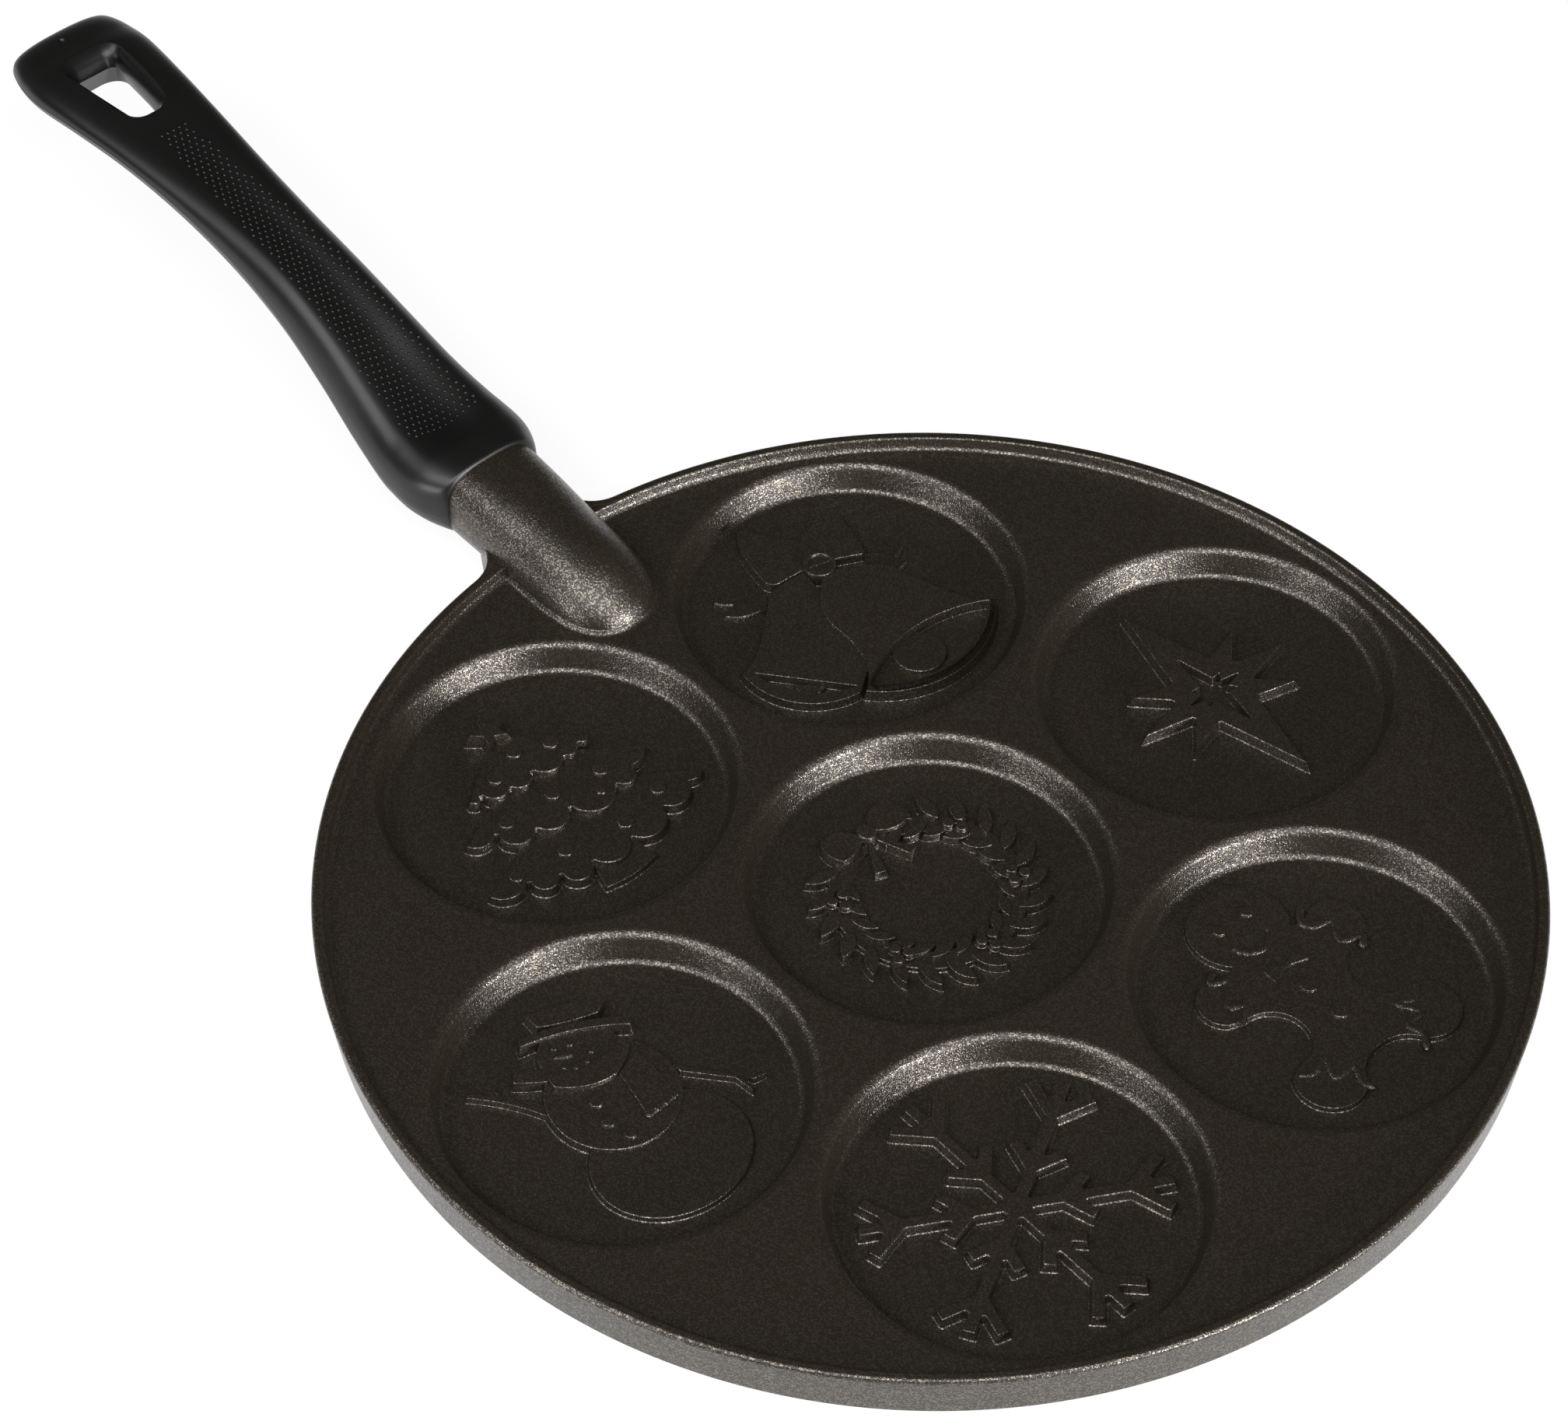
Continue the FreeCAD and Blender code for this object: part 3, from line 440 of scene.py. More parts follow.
def squared(angle, half_width, rise, fall, power_up, power_down):
    """A point of a squared ellipse with its own rise, fall and squareness above and below."""
    across, lift = math.cos(angle), math.sin(angle)
    power = power_up if lift >= 0 else power_down
    y = half_width * math.copysign(abs(across) ** (2 / power), across)
    z = (rise if lift >= 0 else -fall) * abs(lift) ** (2 / power)
    return y, z


def section_ring(shape, x, point_at, count):
    """One closed cross-section at x; point_at gives (y, z) for an angle."""
    ring = bmesh.ops.create_circle(shape, cap_ends=False, radius=1, segments=count)["verts"]
    for place, vert in enumerate(ring):
        y, z = point_at(2 * math.pi * place / count)
        vert.co = (x, y, z)
    return ring


def skinned(shape, rings):
    """Bridges neighbouring rings and caps both ends."""
    for first, second in zip(rings, rings[1:]):
        edges = {edge for ring in (first, second) for vert in ring for edge in vert.link_edges
                 if all(v in ring for v in edge.verts)}
        bmesh.ops.bridge_loops(shape, edges=list(edges))
    shape.faces.new(rings[0])
    shape.faces.new(rings[-1])


# %% [markdown]
# # The stub
# The stub is cast with the plate: a thumb-shaped nose that lies over the plate, grows to 25 mm
# wide, passes over the rim and ends outside it in a flat, squarish face. Rows are x, half width,
# height of its widest level, top, underside, squareness above and below.

# %% Stub
STUB = [
    (99.0, 0.8, 8.9, 9.5, 8.0, 2.0, 2.0),
    (99.5, 3.9, 8.9, 11.0, 7.4, 2.0, 2.0),
    (100.7, 6.6, 8.9, 12.9, 7.0, 2.0, 2.0),
    (102.6, 8.9, 8.9, 14.9, 6.8, 2.0, 2.0),
    (105.4, 10.7, 8.9, 17.1, 6.6, 2.0, 2.0),
    (109.0, 11.9, 9.0, 19.1, 6.5, 2.0, 2.0),
    (114.0, 12.6, 9.2, 20.8, 6.5, 2.0, 2.0),
    (120.0, 12.9, 9.6, 21.8, 6.5, 2.0, 2.0),
    (127.0, 12.9, 10.6, 22.3, 6.0, 2.0, 2.0),
    (133.0, 12.8, 11.3, 22.8, 4.0, 2.15, 2.1),
    (139.0, 12.8, 11.6, 23.1, 2.6, 2.4, 2.2),
    (145.0, 12.7, 11.9, 23.25, 2.0, 2.7, 2.3),
    (151.0, 12.6, 12.2, 23.3, 1.85, 3.0, 2.4),
]

stub = bmesh.new()
rings = []
for x, half_width, middle, top, bottom, power_up, power_down in faired(STUB, 5):
    def stub_point(angle):
        y, z = squared(angle, half_width, top - middle, middle - bottom, power_up, power_down)
        return y, middle + z
    rings.append(section_ring(stub, x, stub_point, 96))
skinned(stub, rings)
grip_stub = settled(stub, "grip_stub", COAT, "pan_casting")

# %% [markdown]
# # The stub's foot
# Where the nose stands on the plate, the casting has a small hollow fillet, which catches a thin
# line of light. It is drawn as one quarter-round section, set square to the nose's outline at many
# places and bridged. Its ends run into the rim.

# %% Foot of the stub
def flank_at(x, level):
    """Half width of the stub at a place and a height."""
    rows = faired(STUB, 12)
    near = min(range(1, len(rows)), key=lambda k: abs(rows[k][0] - x))
    first, second = rows[near - 1], rows[near]
    share = (x - first[0]) / (second[0] - first[0])
    _, half_width, middle, top, _, power, _ = [a + (b - a) * share for a, b in zip(first, second)]
    lift = min(max((level - middle) / (top - middle), 0.0), 1.0)
    return half_width * (1 - lift ** power) ** (1 / power)


FOOT = 1.3
left_side = [Vector((x, flank_at(x, PLATE + 0.4))) for x in
             [99.3, 99.6, 100.0, 100.6, 101.4, 102.4, 103.6, 105.0, 106.6, 108.5, 111, 114, 117, 120, 123, 126, 129]]
foot_line = [Vector((p.x, -p.y)) for p in reversed(left_side)] + left_side
foot = bmesh.new()
rings = []
for place, here in enumerate(foot_line):
    ahead = foot_line[min(place + 1, len(foot_line) - 1)] - foot_line[max(place - 1, 0)]
    outwards = Vector((-ahead.y, ahead.x)).normalized()
    ring = bmesh.ops.create_circle(foot, cap_ends=False, radius=1, segments=9)["verts"]
    section = [(-0.7, -0.6), (FOOT, -0.6)]
    for part in range(7):
        angle = math.pi / 2 * part / 6
        section.append((FOOT - FOOT * math.sin(angle), FOOT - FOOT * math.cos(angle)))
    section[-1] = (-0.7, FOOT)
    for vert, (out, lift) in zip(ring, section):
        spot = here + outwards * out
        vert.co = (spot.x, spot.y, PLATE + lift)
    rings.append(ring)
skinned(foot, rings)
stub_foot = settled(foot, "stub_foot", COAT, "pan_casting", crease=60)

# %% [markdown]
# # The grip
# The grip is one S-curved phenolic moulding with a dished top for the thumb. It starts in a
# collar round the stub's end, sinks and rises along its length, and widens to a flat tip. Its two
# mould halves meet in a fine line along both sides.

# %% Grip skin
GRIP = [
    (151.0, 12.9, 10.7, 10.1, 12.85, 0.0),
    (151.4, 13.6, 11.3, 10.7, 12.85, 0.0),
    (152.6, 14.6, 11.5, 10.7, 12.85, 0.0),
    (155.5, 16.0, 11.6, 10.5, 12.85, 0.0),
    (158.5, 16.9, 11.7, 10.2, 12.85, 0.10),
    (162.0, 17.4, 11.7, 10.0, 12.85, 0.55),
    (166.5, 17.4, 11.8, 9.8, 13.1, 0.85),
    (172.0, 17.0, 12.1, 9.5, 13.75, 0.95),
    (184.0, 15.4, 12.5, 9.5, 17.35, 1.0),
    (198.0, 13.7, 11.7, 9.5, 23.55, 0.95),
    (214.0, 12.4, 9.5, 9.5, 30.2, 0.75),
    (232.0, 11.9, 6.8, 9.5, 35.4, 0.6),
    (252.0, 12.5, 4.8, 8.8, 39.1, 0.45),
    (272.0, 14.0, 4.0, 8.1, 41.2, 0.15),
    (290.0, 15.8, 4.4, 7.7, 41.4, 0.0),
    (304.0, 17.0, 5.4, 7.5, 40.2, 0.0),
    (312.0, 16.6, 5.2, 7.0, 39.3, 0.0),
    (317.0, 15.6, 4.9, 6.0, 38.9, 0.0),
    (320.3, 14.4, 4.3, 4.2, 38.6, 0.0),
    (321.9, 13.0, 3.4, 3.2, 38.4, 0.0),
    (322.8, 11.2, 2.5, 2.4, 38.2, 0.0),
    (323.1, 9.2, 1.7, 1.6, 38.1, 0.0),
    (323.12, 7.6, 1.2, 1.1, 38.1, 0.0),
]
GRIP_DISH = 3.4
DISH_SHARE = 0.66
PARTING_RIDGE = 0.16
TIP_LEAN = 1.9

grip = bmesh.new()
rings = []
for x, half_width, rise, fall, parting, dish in faired(GRIP, 8):
    def grip_point(angle):
        y, z = squared(angle, half_width, rise, fall, 2.5 + max(0.0, 0.5 - (x - 151) / 50), 2.0)
        share = abs(y) / half_width
        if z > 0 and share < DISH_SHARE:
            z -= GRIP_DISH * dish * math.cos(share / DISH_SHARE * math.pi / 2) ** 2
        if abs(z) < 0.001:
            y += math.copysign(PARTING_RIDGE, y)
        y -= TIP_LEAN * max(0.0, (x - 285) / 38) ** 2
        return y, parting + z
    rings.append(section_ring(grip, x, grip_point, 96))
skinned(grip, rings)
bmesh.ops.recalc_face_normals(grip, faces=grip.faces)
grip_skin = BVHTree.FromBMesh(grip)

# %% [markdown]
# # The hang hole
# A rounded trapezoid goes through the flat end. Its walls lean outwards from a mould line half way
# down, so both mould halves let go. A solid of that form is cut out of the skin.

# %% Hang hole
HOLE_WAIST = 40.2


def hole_ring(shape, level, widening):
    """One level ring of the hang hole, wider by widening all round."""
    start, end = 280.0 - widening * (1.0 if level < HOLE_WAIST else 0.7), 304.0 + widening * (1.35 if level < HOLE_WAIST else 2.4)
    narrow, wide = 3.2 + widening, 6.6 + widening
    corner = 2.4 + widening
    flat = [Vector((start, -narrow)), Vector((end, -wide)), Vector((end, wide)), Vector((start, narrow))]
    points = []
    for place in range(4):
        here, before, after = flat[place], flat[place - 1], flat[(place + 1) % 4]
        back_way, on_way = (before - here).normalized(), (after - here).normalized()
        half = back_way.angle(on_way) / 2
        centre = here + (back_way + on_way).normalized() * (corner / math.sin(half))
        first = here + back_way * (corner / math.tan(half)) - centre
        final = here + on_way * (corner / math.tan(half)) - centre
        swing = first.angle_signed(final)
        for step in range(9):
            points.append(centre + Matrix.Rotation(-swing * step / 8, 2) @ first)
    ring = bmesh.ops.create_circle(shape, cap_ends=False, radius=1, segments=len(points))["verts"]
    for vert, point in zip(ring, points):
        vert.co = (point.x, point.y, level)
    return ring


cutter = bmesh.new()
levels = [(-12, 4.4), (0, 0.0), (2.4, 0.4), (3.8, 0.95), (4.8, 1.75), (5.4, 2.8), (7.0, 5.5)]
skinned(cutter, [hole_ring(cutter, HOLE_WAIST + rise, widening) for rise, widening in levels])
dimple = bmesh.new()
bmesh.ops.create_uvsphere(dimple, u_segments=20, v_segments=12, radius=1.1)
joined(cutter, dimple, Matrix.Translation((316.2, 0.6, 44.4)))
bmesh.ops.recalc_face_normals(cutter, faces=cutter.faces)


def without(piece_shape, cutter_shape):
    """The first closed shape less the second, by an exact boolean."""
    objects = []
    for shape in (piece_shape, cutter_shape):
        mesh = bpy.data.meshes.new("blank")
        shape.to_mesh(mesh)
        shape.free()
        objects.append(bpy.data.objects.new("blank", mesh))
        scene.collection.objects.link(objects[-1])
    cut = objects[0].modifiers.new("cut", "BOOLEAN")
    cut.operation = "DIFFERENCE"
    cut.solver = "EXACT"
    cut.object = objects[1]
    depsgraph = bpy.context.evaluated_depsgraph_get()
    result = bmesh.new()
    result.from_mesh(objects[0].evaluated_get(depsgraph).to_mesh())
    for blank in objects:
        mesh = blank.data
        bpy.data.objects.remove(blank)
        bpy.data.meshes.remove(mesh)
    return result


grip = without(grip, cutter)
handle_grip = settled(grip, "grip_moulding", PHENOLIC, "handle_grip")

# %% [markdown]
# # Dots in the dish
# The mould has rows of small pits that leave dots for the thumb. One dot is a low dome of three
# dozen faces, and it is copied to every place of a staggered grid that narrows towards the tip.

# %% Grip dots
DOT_PITCH = 1.72


dome = bmesh.new()
bmesh.ops.create_uvsphere(dome, u_segments=8, v_segments=6, radius=1)
bmesh.ops.scale(dome, vec=(0.42, 0.42, 0.38), verts=dome.verts)
dots = bmesh.new()
count = 0
for row in range(61):
    x = 167.3 + row * DOT_PITCH
    half_field = 9.6 - 5.6 * (x - 172) / 98
    for column in range(-8, 9):
        y = (column + (0.5 if row % 2 else 0.0)) * DOT_PITCH
        if abs(y) > half_field:
            continue
        place, normal, _, _ = grip_skin.ray_cast(Vector((x, y, 80)), Vector((0, 0, -1)))
        if place is not None:
            joined(dots, dome, Matrix.Translation(place) @ normal.to_track_quat("Z", "Y").to_matrix().to_4x4())
            count += 1
print(count, "dots")
grip_dots = settled(dots, "grip_dots", PHENOLIC, "handle_grip")

# %% [markdown]
# # Ornaments on the cup floors
# Each cup shapes one face of a small pancake. The ornaments stand 1 to 3 mm over the floor with
# walls that lean 12 degrees, so the batter lets go. An outline is filled and then climbed ring by
# ring: first a hollow curve at its foot, then the wall, then a round edge. Blender's own inset
# folds over where a curve is tighter than the inset, so the rings are worked out here: every
# stretch moves in by itself, and a stretch that has no room left gives way to its neighbours.

# %% Outlines
def outline_points(corners, step=0.7):
    """Points of a closed outline of (x, y, bulge) corners; bulge is an arc's rise over its half chord."""
    points = []
    for (x0, y0, bulge), (x1, y1, _) in zip(corners, corners[1:] + corners[:1]):
        start, end = Vector((x0, y0)), Vector((x1, y1))
        points.append(start)
        if not bulge:
            continue
        along = (end - start).normalized()
        outwards = Vector((along.y, -along.x))
        turn = 4 * math.atan(abs(bulge))
        radius = (end - start).length / 2 / math.sin(turn / 2)
        side = math.copysign(radius, bulge)
        centre = (start + end) / 2 - outwards * side * math.cos(turn / 2)
        count = max(3, round(radius * turn / step))
        for place in range(1, count):
            angle = turn * (place / count - 0.5)
            points.append(centre + outwards * side * math.cos(angle) + along * radius * math.sin(angle))
    return points


def softened(points, radius=0.35, steps=3):
    """Rounds every corner sharper than 30 degrees, as a cast edge is."""
    result = []
    for before, here, after in zip(points[-1:] + points[:-1], points, points[1:] + points[:1]):
        back_way, on_way = before - here, after - here
        if back_way.length < 1e-6 or on_way.length < 1e-6:
            continue
        opening = back_way.angle(on_way)
        if opening > math.radians(150):
            result.append(here)
            continue
        run = min(radius / math.tan(opening / 2), back_way.length * 0.4, on_way.length * 0.4)
        first = here + back_way.normalized() * run
        final = here + on_way.normalized() * run
        for part in range(steps + 1):
            t = part / steps
            result.append(first * (1 - t) ** 2 + here * 2 * t * (1 - t) + final * t ** 2)
    return result


def turn_of(points):
    """Twice the area inside an outline, negative when it runs clockwise."""
    return sum(a.x * b.y - b.x * a.y for a, b in zip(points, points[1:] + points[:1]))


def circle_points(x, y, radius, across=None, count=None):
    """A circle, or an oval when its half width across y differs."""
    across = across or radius
    count = count or max(16, round(radius * 7))
    turns = [2 * math.pi * place / count for place in range(count)]
    return [Vector((x + radius * math.cos(a), y + across * math.sin(a))) for a in turns]


def crossing(first, second):
    """Where two lines of (point, direction) meet, or half way between them if they run alike."""
    (p, d), (q, e) = first, second
    turn = d.x * e.y - d.y * e.x
    if abs(turn) < 0.02:
        return (p + q) / 2
    gap = q - p
    return p + d * ((gap.x * e.y - gap.y * e.x) / turn)


def moved_in(points, distance):
    """The outline moved inwards, with as many points as before; a stretch without room shrinks to one."""
    count = len(points)
    ways = [(points[(i + 1) % count] - points[i]).normalized() for i in range(count)]
    lines = []
    for i in range(count):
        lines.append((points[i] + Vector((-ways[i].y, ways[i].x)) * distance, ways[i]))
    left = list(range(count))
    while True:
        starts = {}
        for k, edge in enumerate(left):
            before = left[k - 1]
            if abs(ways[before].x * ways[edge].y - ways[before].y * ways[edge].x) < 0.02 and (edge - before) % count == 1:
                starts[edge] = lines[edge][0]
            else:
                starts[edge] = crossing(lines[before], lines[edge])
        spare = {}
        for k, edge in enumerate(left):
            spare[edge] = (starts[left[(k + 1) % len(left)]] - starts[edge]).dot(ways[edge])
        doomed = {edge for k, edge in enumerate(left) if spare[edge] < -1e-6
                  and spare[edge] <= spare[left[k - 1]] and spare[edge] <= spare[left[(k + 1) % len(left)]]}
        if not doomed or len(left) - len(doomed) < 3:
            break
        left = [edge for edge in left if edge not in doomed]
    result = []
    for i in range(count):
        keeper = next((left[k] for k in range(len(left)) if left[k] >= i), left[0])
        result.append(starts[keeper])
    return result


# %% Climbing an outline
DRAFT = math.radians(12)


def wall(height, foot, edge, parts=3):
    """Inset and height of each ring: hollow foot, drafted wall, round edge."""
    tilt = math.pi / 2 - DRAFT
    rings = [(-foot * math.tan(tilt / 2), -0.02)]
    for part in range(1, parts + 1):
        angle = tilt * part / parts
        rings.append((rings[0][0] + foot * math.sin(angle), foot * (1 - math.cos(angle))))
    rounding = edge * (1 - math.cos(tilt))
    rise = height - rings[-1][1] - rounding
    base = (rings[-1][0] + rise * math.tan(DRAFT), rings[-1][1] + rise)
    for part in range(parts, -1, -1):
        angle = tilt * part / parts
        rings.append((base[0] + edge * (math.sin(tilt) - math.sin(angle)),
                      base[1] + edge * (math.cos(angle) - math.cos(tilt))))
    return rings


def filled(shape, points, height):
    """A flat face inside an outline, facing up."""
    face = shape.faces.new([shape.verts.new((p.x, p.y, height)) for p in points])
    face.normal_update()
    if face.normal.z < 0:
        face.normal_flip()
    return face


def climbed(shape, points, level, rings, upwards=1):
    """Climbs, or sinks, from an outline through its rings and returns the face at the end."""
    inset, rise = rings[0]
    outline = moved_in(points, inset)
    face = filled(shape, outline, level + rise * upwards)
    corners = list(face.verts)
    order = [min(range(len(outline)), key=lambda k: (outline[k] - v.co.xy).length_squared) for v in corners[:1]][0]
    step = 1 if (outline[(order + 1) % len(outline)] - corners[1].co.xy).length < 1e-5 else -1
    for inset, rise in rings[1:]:
        bmesh.ops.inset_region(shape, faces=[face], thickness=0.0, use_boundary=True)
        outline = moved_in(points, inset)
        for k, loop in enumerate(face.loops):
            place = outline[(order + step * k) % len(outline)]
            loop.vert.co = (place.x, place.y, level + rise * upwards)
    return face


def raised(shape, points, height, level=0.0, foot=0.46, edge=0.44, pits=()):
    """A raised form over the floor, with pits of (outline points, depth) sunk into its top."""
    face = climbed(shape, points, CUP_FLOOR + level, wall(height, foot, edge))
    if not pits:
        return
    top = face.verts[0].co.z
    shape.faces.remove(face)
    for pit_points, depth in pits:
        rings = wall(depth, 0.22, 0.22)
        rings = [(inset, rise + 0.02) for inset, rise in rings]
        climbed(shape, pit_points, top, rings, -1)
    level_verts = [v for v in shape.verts if abs(v.co.z - top) < 0.0001]
    bmesh.ops.remove_doubles(shape, verts=level_verts, dist=0.01)
    rim = [e for e in shape.edges if e.is_boundary and all(abs(v.co.z - top) < 0.0001 for v in e.verts)]
    bmesh.ops.triangle_fill(shape, edges=rim, use_beauty=True, normal=(0, 0, 1))


def bead(shape, path, radius, level, height):
    """A round-backed ridge along a path of (x, y) points, like piped icing."""
    fine = faired([tuple(p) for p in path], 5)
    rings = []
    for place, point in enumerate(fine):
        here = Vector(point)
        ahead = Vector(fine[min(place + 1, len(fine) - 1)]) - Vector(fine[max(place - 1, 0)])
        side = Vector((-ahead.y, ahead.x)).normalized()
        shrink = 0.35 if place in (0, len(fine) - 1) else 1.0
        ring = bmesh.ops.create_circle(shape, cap_ends=False, radius=1, segments=10)["verts"]
        for k, vert in enumerate(ring):
            angle = 2 * math.pi * k / 10
            spot = here + side * (radius * shrink * math.cos(angle))
            vert.co = (spot.x, spot.y, CUP_FLOOR + level + height * shrink * math.sin(angle))
        rings.append(ring)
    skinned(shape, rings)


def button(shape, x, y, radius, level, height):
    """A small round stud with a domed top."""
    raised(shape, circle_points(x, y, radius, count=24), height, level, foot=0.15, edge=min(0.3, height * 0.5))


def mirrored(half):
    """Closes a left half, which ends and starts on y = 0, with its mirror image."""
    other = []
    for (x, y, _), (_, _, bulge) in zip(reversed(half), reversed(half[:-1])):
        other.append((x, -y, bulge))
    return half[:-1] + other


def ornament(shape, cup, name):
    """Moves a finished relief to its cup and writes it as a piece."""
    bmesh.ops.translate(shape, vec=(CUPS[cup][0], CUPS[cup][1], 0), verts=shape.verts)
    piece = settled(shape, name, COAT, "pan_casting", turned_right=True)
    keep_flats_flat(piece)
    return piece


# %% [markdown]
# # Star
# Eight points, long ones along the pan, with a small eight-pointed star sunk into its middle.

# %% Star
def star_outline(arms, valley, centre=(0.4, -0.6)):
    """Eight points: long ones along x, the sides along y and short ones between."""
    upright, short, side = arms
    half = [(0, upright), (37, valley), (57, short), (71, valley), (90, side),
            (109, valley), (123, short), (143, valley), (180, upright)]
    turns = half + [(360 - angle, reach) for angle, reach in reversed(half[1:-1])]
    return [Vector((centre[0] + reach * math.cos(math.radians(angle)),
                    centre[1] + reach * math.sin(math.radians(angle)))) for angle, reach in turns]


star = bmesh.new()
raised(star, softened(star_outline((31.3, 20.4, 23.2), 10.2)), 2.6,
       pits=[(softened(star_outline((12.4, 5.4, 8.0), 3.4), 0.2), 2.2)])
ornament(star, STAR, "star_relief")

# %% [markdown]
# # Snowflake
# Six arms with two pairs of slanted branches each. One outline runs round all of them, so the
# top is a single face.

# %% Snowflake
def arm_side(half_width=1.75, length=33.6, branches=((9.9, 8.0), (24.3, 10.2)), angle=44):
    """The left side of an arm along +x, from the crotch beside it to its tip."""
    slant = math.radians(angle)
    along, across = math.cos(slant), math.sin(slant)
    side = [(half_width / math.tan(math.pi / 6), half_width)]
    for place, length_out in branches:
        inner = (place - half_width * across, half_width * along)
        outer = (place + half_width * across, -half_width * along)
        side.append((inner[0] + half_width * math.tan(slant / 2) * along, half_width))
        side.append((inner[0] + length_out * along, inner[1] + length_out * across))
        side.append((outer[0] + length_out * along, outer[1] + length_out * across))
        side.append((outer[0] + half_width / math.tan(slant / 2) * along, half_width))
    return side + [(length, half_width)]


snowflake_points = []
for arm in range(6):
    turn = Matrix.Rotation(math.radians(60 * arm), 2)
    side = [Vector(p) for p in arm_side()]
    snowflake_points += [turn @ Vector((p.x, -p.y)) for p in side]
    snowflake_points += [turn @ p for p in reversed(side[1:])]
snowflake = bmesh.new()
raised(snowflake, softened(snowflake_points, 0.3), 2.2)
ornament(snowflake, SNOWFLAKE, "snowflake_relief")

# %% [markdown]
# # Gingerbread figure
# A flat cookie shape with a round head, stubby arms and round feet. Its icing is piped on: a wavy
# line across each wrist and ankle, a smile, a bow tie and two buttons.

# %% Gingerbread
gingerbread_left = [
    (33.8, 0, 0.70), (15.9, 9.0, -0.20), (16.9, 15.6, 0.75), (5.0, 20.6, 0), (3.6, 17.3, -0.80),
    (-11.4, 12.6, 0.10), (-13.5, 20.3, 0.95), (-25.0, 8.6, -0.32), (-19.7, 0, 0),
]
BISCUIT = 1.2
gingerbread = bmesh.new()
raised(gingerbread, softened(outline_points(mirrored(gingerbread_left)), 0.4), BISCUIT, foot=0.25, edge=0.25)
icing = [
    [(17.8, 12.7), (15.8, 15.5), (13.5, 11.9), (9.0, 17.0), (6.5, 14.2), (3.3, 18.9)],
    [(18.1, -13.8), (15.2, -11.2), (12.6, -12.0), (10.9, -16.5), (6.0, -13.9), (4.0, -18.3), (1.4, -16.0)],
    [(-14.0, 18.8), (-15.6, 15.8), (-14.1, 11.2), (-19.4, 13.4), (-20.0, 8.5), (-23.8, 9.9), (-26.9, 9.2)],
    [(-12.9, -17.9), (-15.6, -14.6), (-14.4, -10.6), (-19.2, -12.8), (-19.6, -8.2), (-23.6, -9.0), (-27.1, -6.4)],
]
for path in icing:
    bead(gingerbread, path, 0.95, BISCUIT - 0.15, 0.62)
bead(gingerbread, [(19.9, 5.0), (17.4, 4.3), (15.6, 1.9), (15.4, -1.0), (17.2, -3.9), (19.6, -4.9)], 0.85, BISCUIT - 0.15, 0.6)
for x, y, radius in [(24.9, 4.0, 1.55), (24.9, -4.2, 1.55), (1.8, -0.1, 2.2), (-7.6, -0.1, 2.2)]:
    button(gingerbread, x, y, radius, BISCUIT - 0.05, 0.55)
bow_tie = [(11.0, 5.0), (9.4, 0.9), (9.4, -1.1), (11.0, -5.2), (6.6, -5.2), (8.0, -1.1), (8.0, 0.9), (6.6, 5.0)]
raised(gingerbread, softened([Vector(p) for p in reversed(bow_tie)], 0.3), 0.5, BISCUIT - 0.05, foot=0.12, edge=0.15)
ornament(gingerbread, GINGERBREAD, "gingerbread_relief")

# %% [markdown]
# # Snowman
# Three overlapping balls, each a step higher than the one before, under a top hat, with a scarf
# in the wind, twig arms and a row of buttons.

# %% Snowman
snowman = bmesh.new()
raised(snowman, circle_points(-17.2, 1.1, 15.8, 18.4, 120), 1.15)
raised(snowman, circle_points(2.2, 0.7, 15.0, count=110), 1.75)
raised(snowman, circle_points(14.9, -0.6, 9.4, count=80), 2.3)
left_arm = outline_points([(22.9, 23.6, 0), (21.7, 24.8, -0.10), (5.7, 14.5, 0), (8.5, 12.3, 0.10)])
right_arm = outline_points([(1.0, -13.6, 0), (-2.4, -13.6, 0), (-11.4, -21.2, 0), (-16.8, -21.8, 0), (-15.6, -23.0, 0),
                            (-10.6, -22.4, 0)])
thumb = outline_points([(17.6, 19.6, 0), (20.4, 19.0, 0), (20.0, 18.1, 0), (16.0, 18.4, 0)])
twig = outline_points([(-12.9, -23.4, 0), (-14.3, -23.9, 0), (-15.0, -27.6, 0), (-14.0, -27.6, 0)])
for limb in (left_arm, thumb, right_arm, twig):
    raised(snowman, softened(limb[::-1] if turn_of(limb) < 0 else limb, 0.25), 1.4, foot=0.2, edge=0.2)
crown = [(30.6, 2.3, 0), (25.6, 2.6, 0.08), (20.0, -10.6, 0), (22.5, -14.4, 0.10)]
brim = [(26.4, 7.6, 0), (23.4, 9.0, -0.13), (12.4, -13.4, 0), (15.0, -15.6, 0.13)]
band = [(16.0, 9.0, 0), (11.0, 9.9, 0.24), (4.75, -3.0, 0.10), (9.4, -10.6, 0), (13.4, -10.2, -0.34)]
tail = [(5.6, -3.0, 0), (-8.4, -0.2, 0), (-7.75, -9.6, 0.05), (8.2, -10.6, 0)]
flying = [(20.7, 13.2, 0), (17.6, 15.7, 0.03), (12.6, 9.2, 0), (15.7, 5.4, -0.03)]
for outline, height in ((flying, 2.4), (tail, 2.35), (band, 2.75), (crown, 2.6), (brim, 3.0)):
    points = outline_points(outline)
    raised(snowman, softened(points[::-1] if turn_of(points) < 0 else points, 0.3), height, foot=0.22, edge=0.22)
for x, y in ((2.7, 4.9), (-2.9, 6.2), (-8.2, 4.6)):
    button(snowman, x, y, 1.6, 1.7, 0.6)
for x, y, radius in ((19.2, 2.8, 0.75), (18.0, -0.5, 0.75), (13.9, 4.4, 0.6), (12.2, 2.4, 0.75), (12.0, -0.4, 0.75),
                     (13.6, -2.7, 0.6)):
    button(snowman, x, y, radius, 2.25, 0.45)
bead(snowman, [(17.4, 4.4), (16.2, 2.2), (15.4, 0.6)], 0.85, 2.2, 0.6)
for y in (-1.2, -3.4, -5.8, -8.1):
    button(snowman, -7.2, y, 0.6, 2.3, 0.4)
ornament(snowman, SNOWMAN, "snowman_relief")

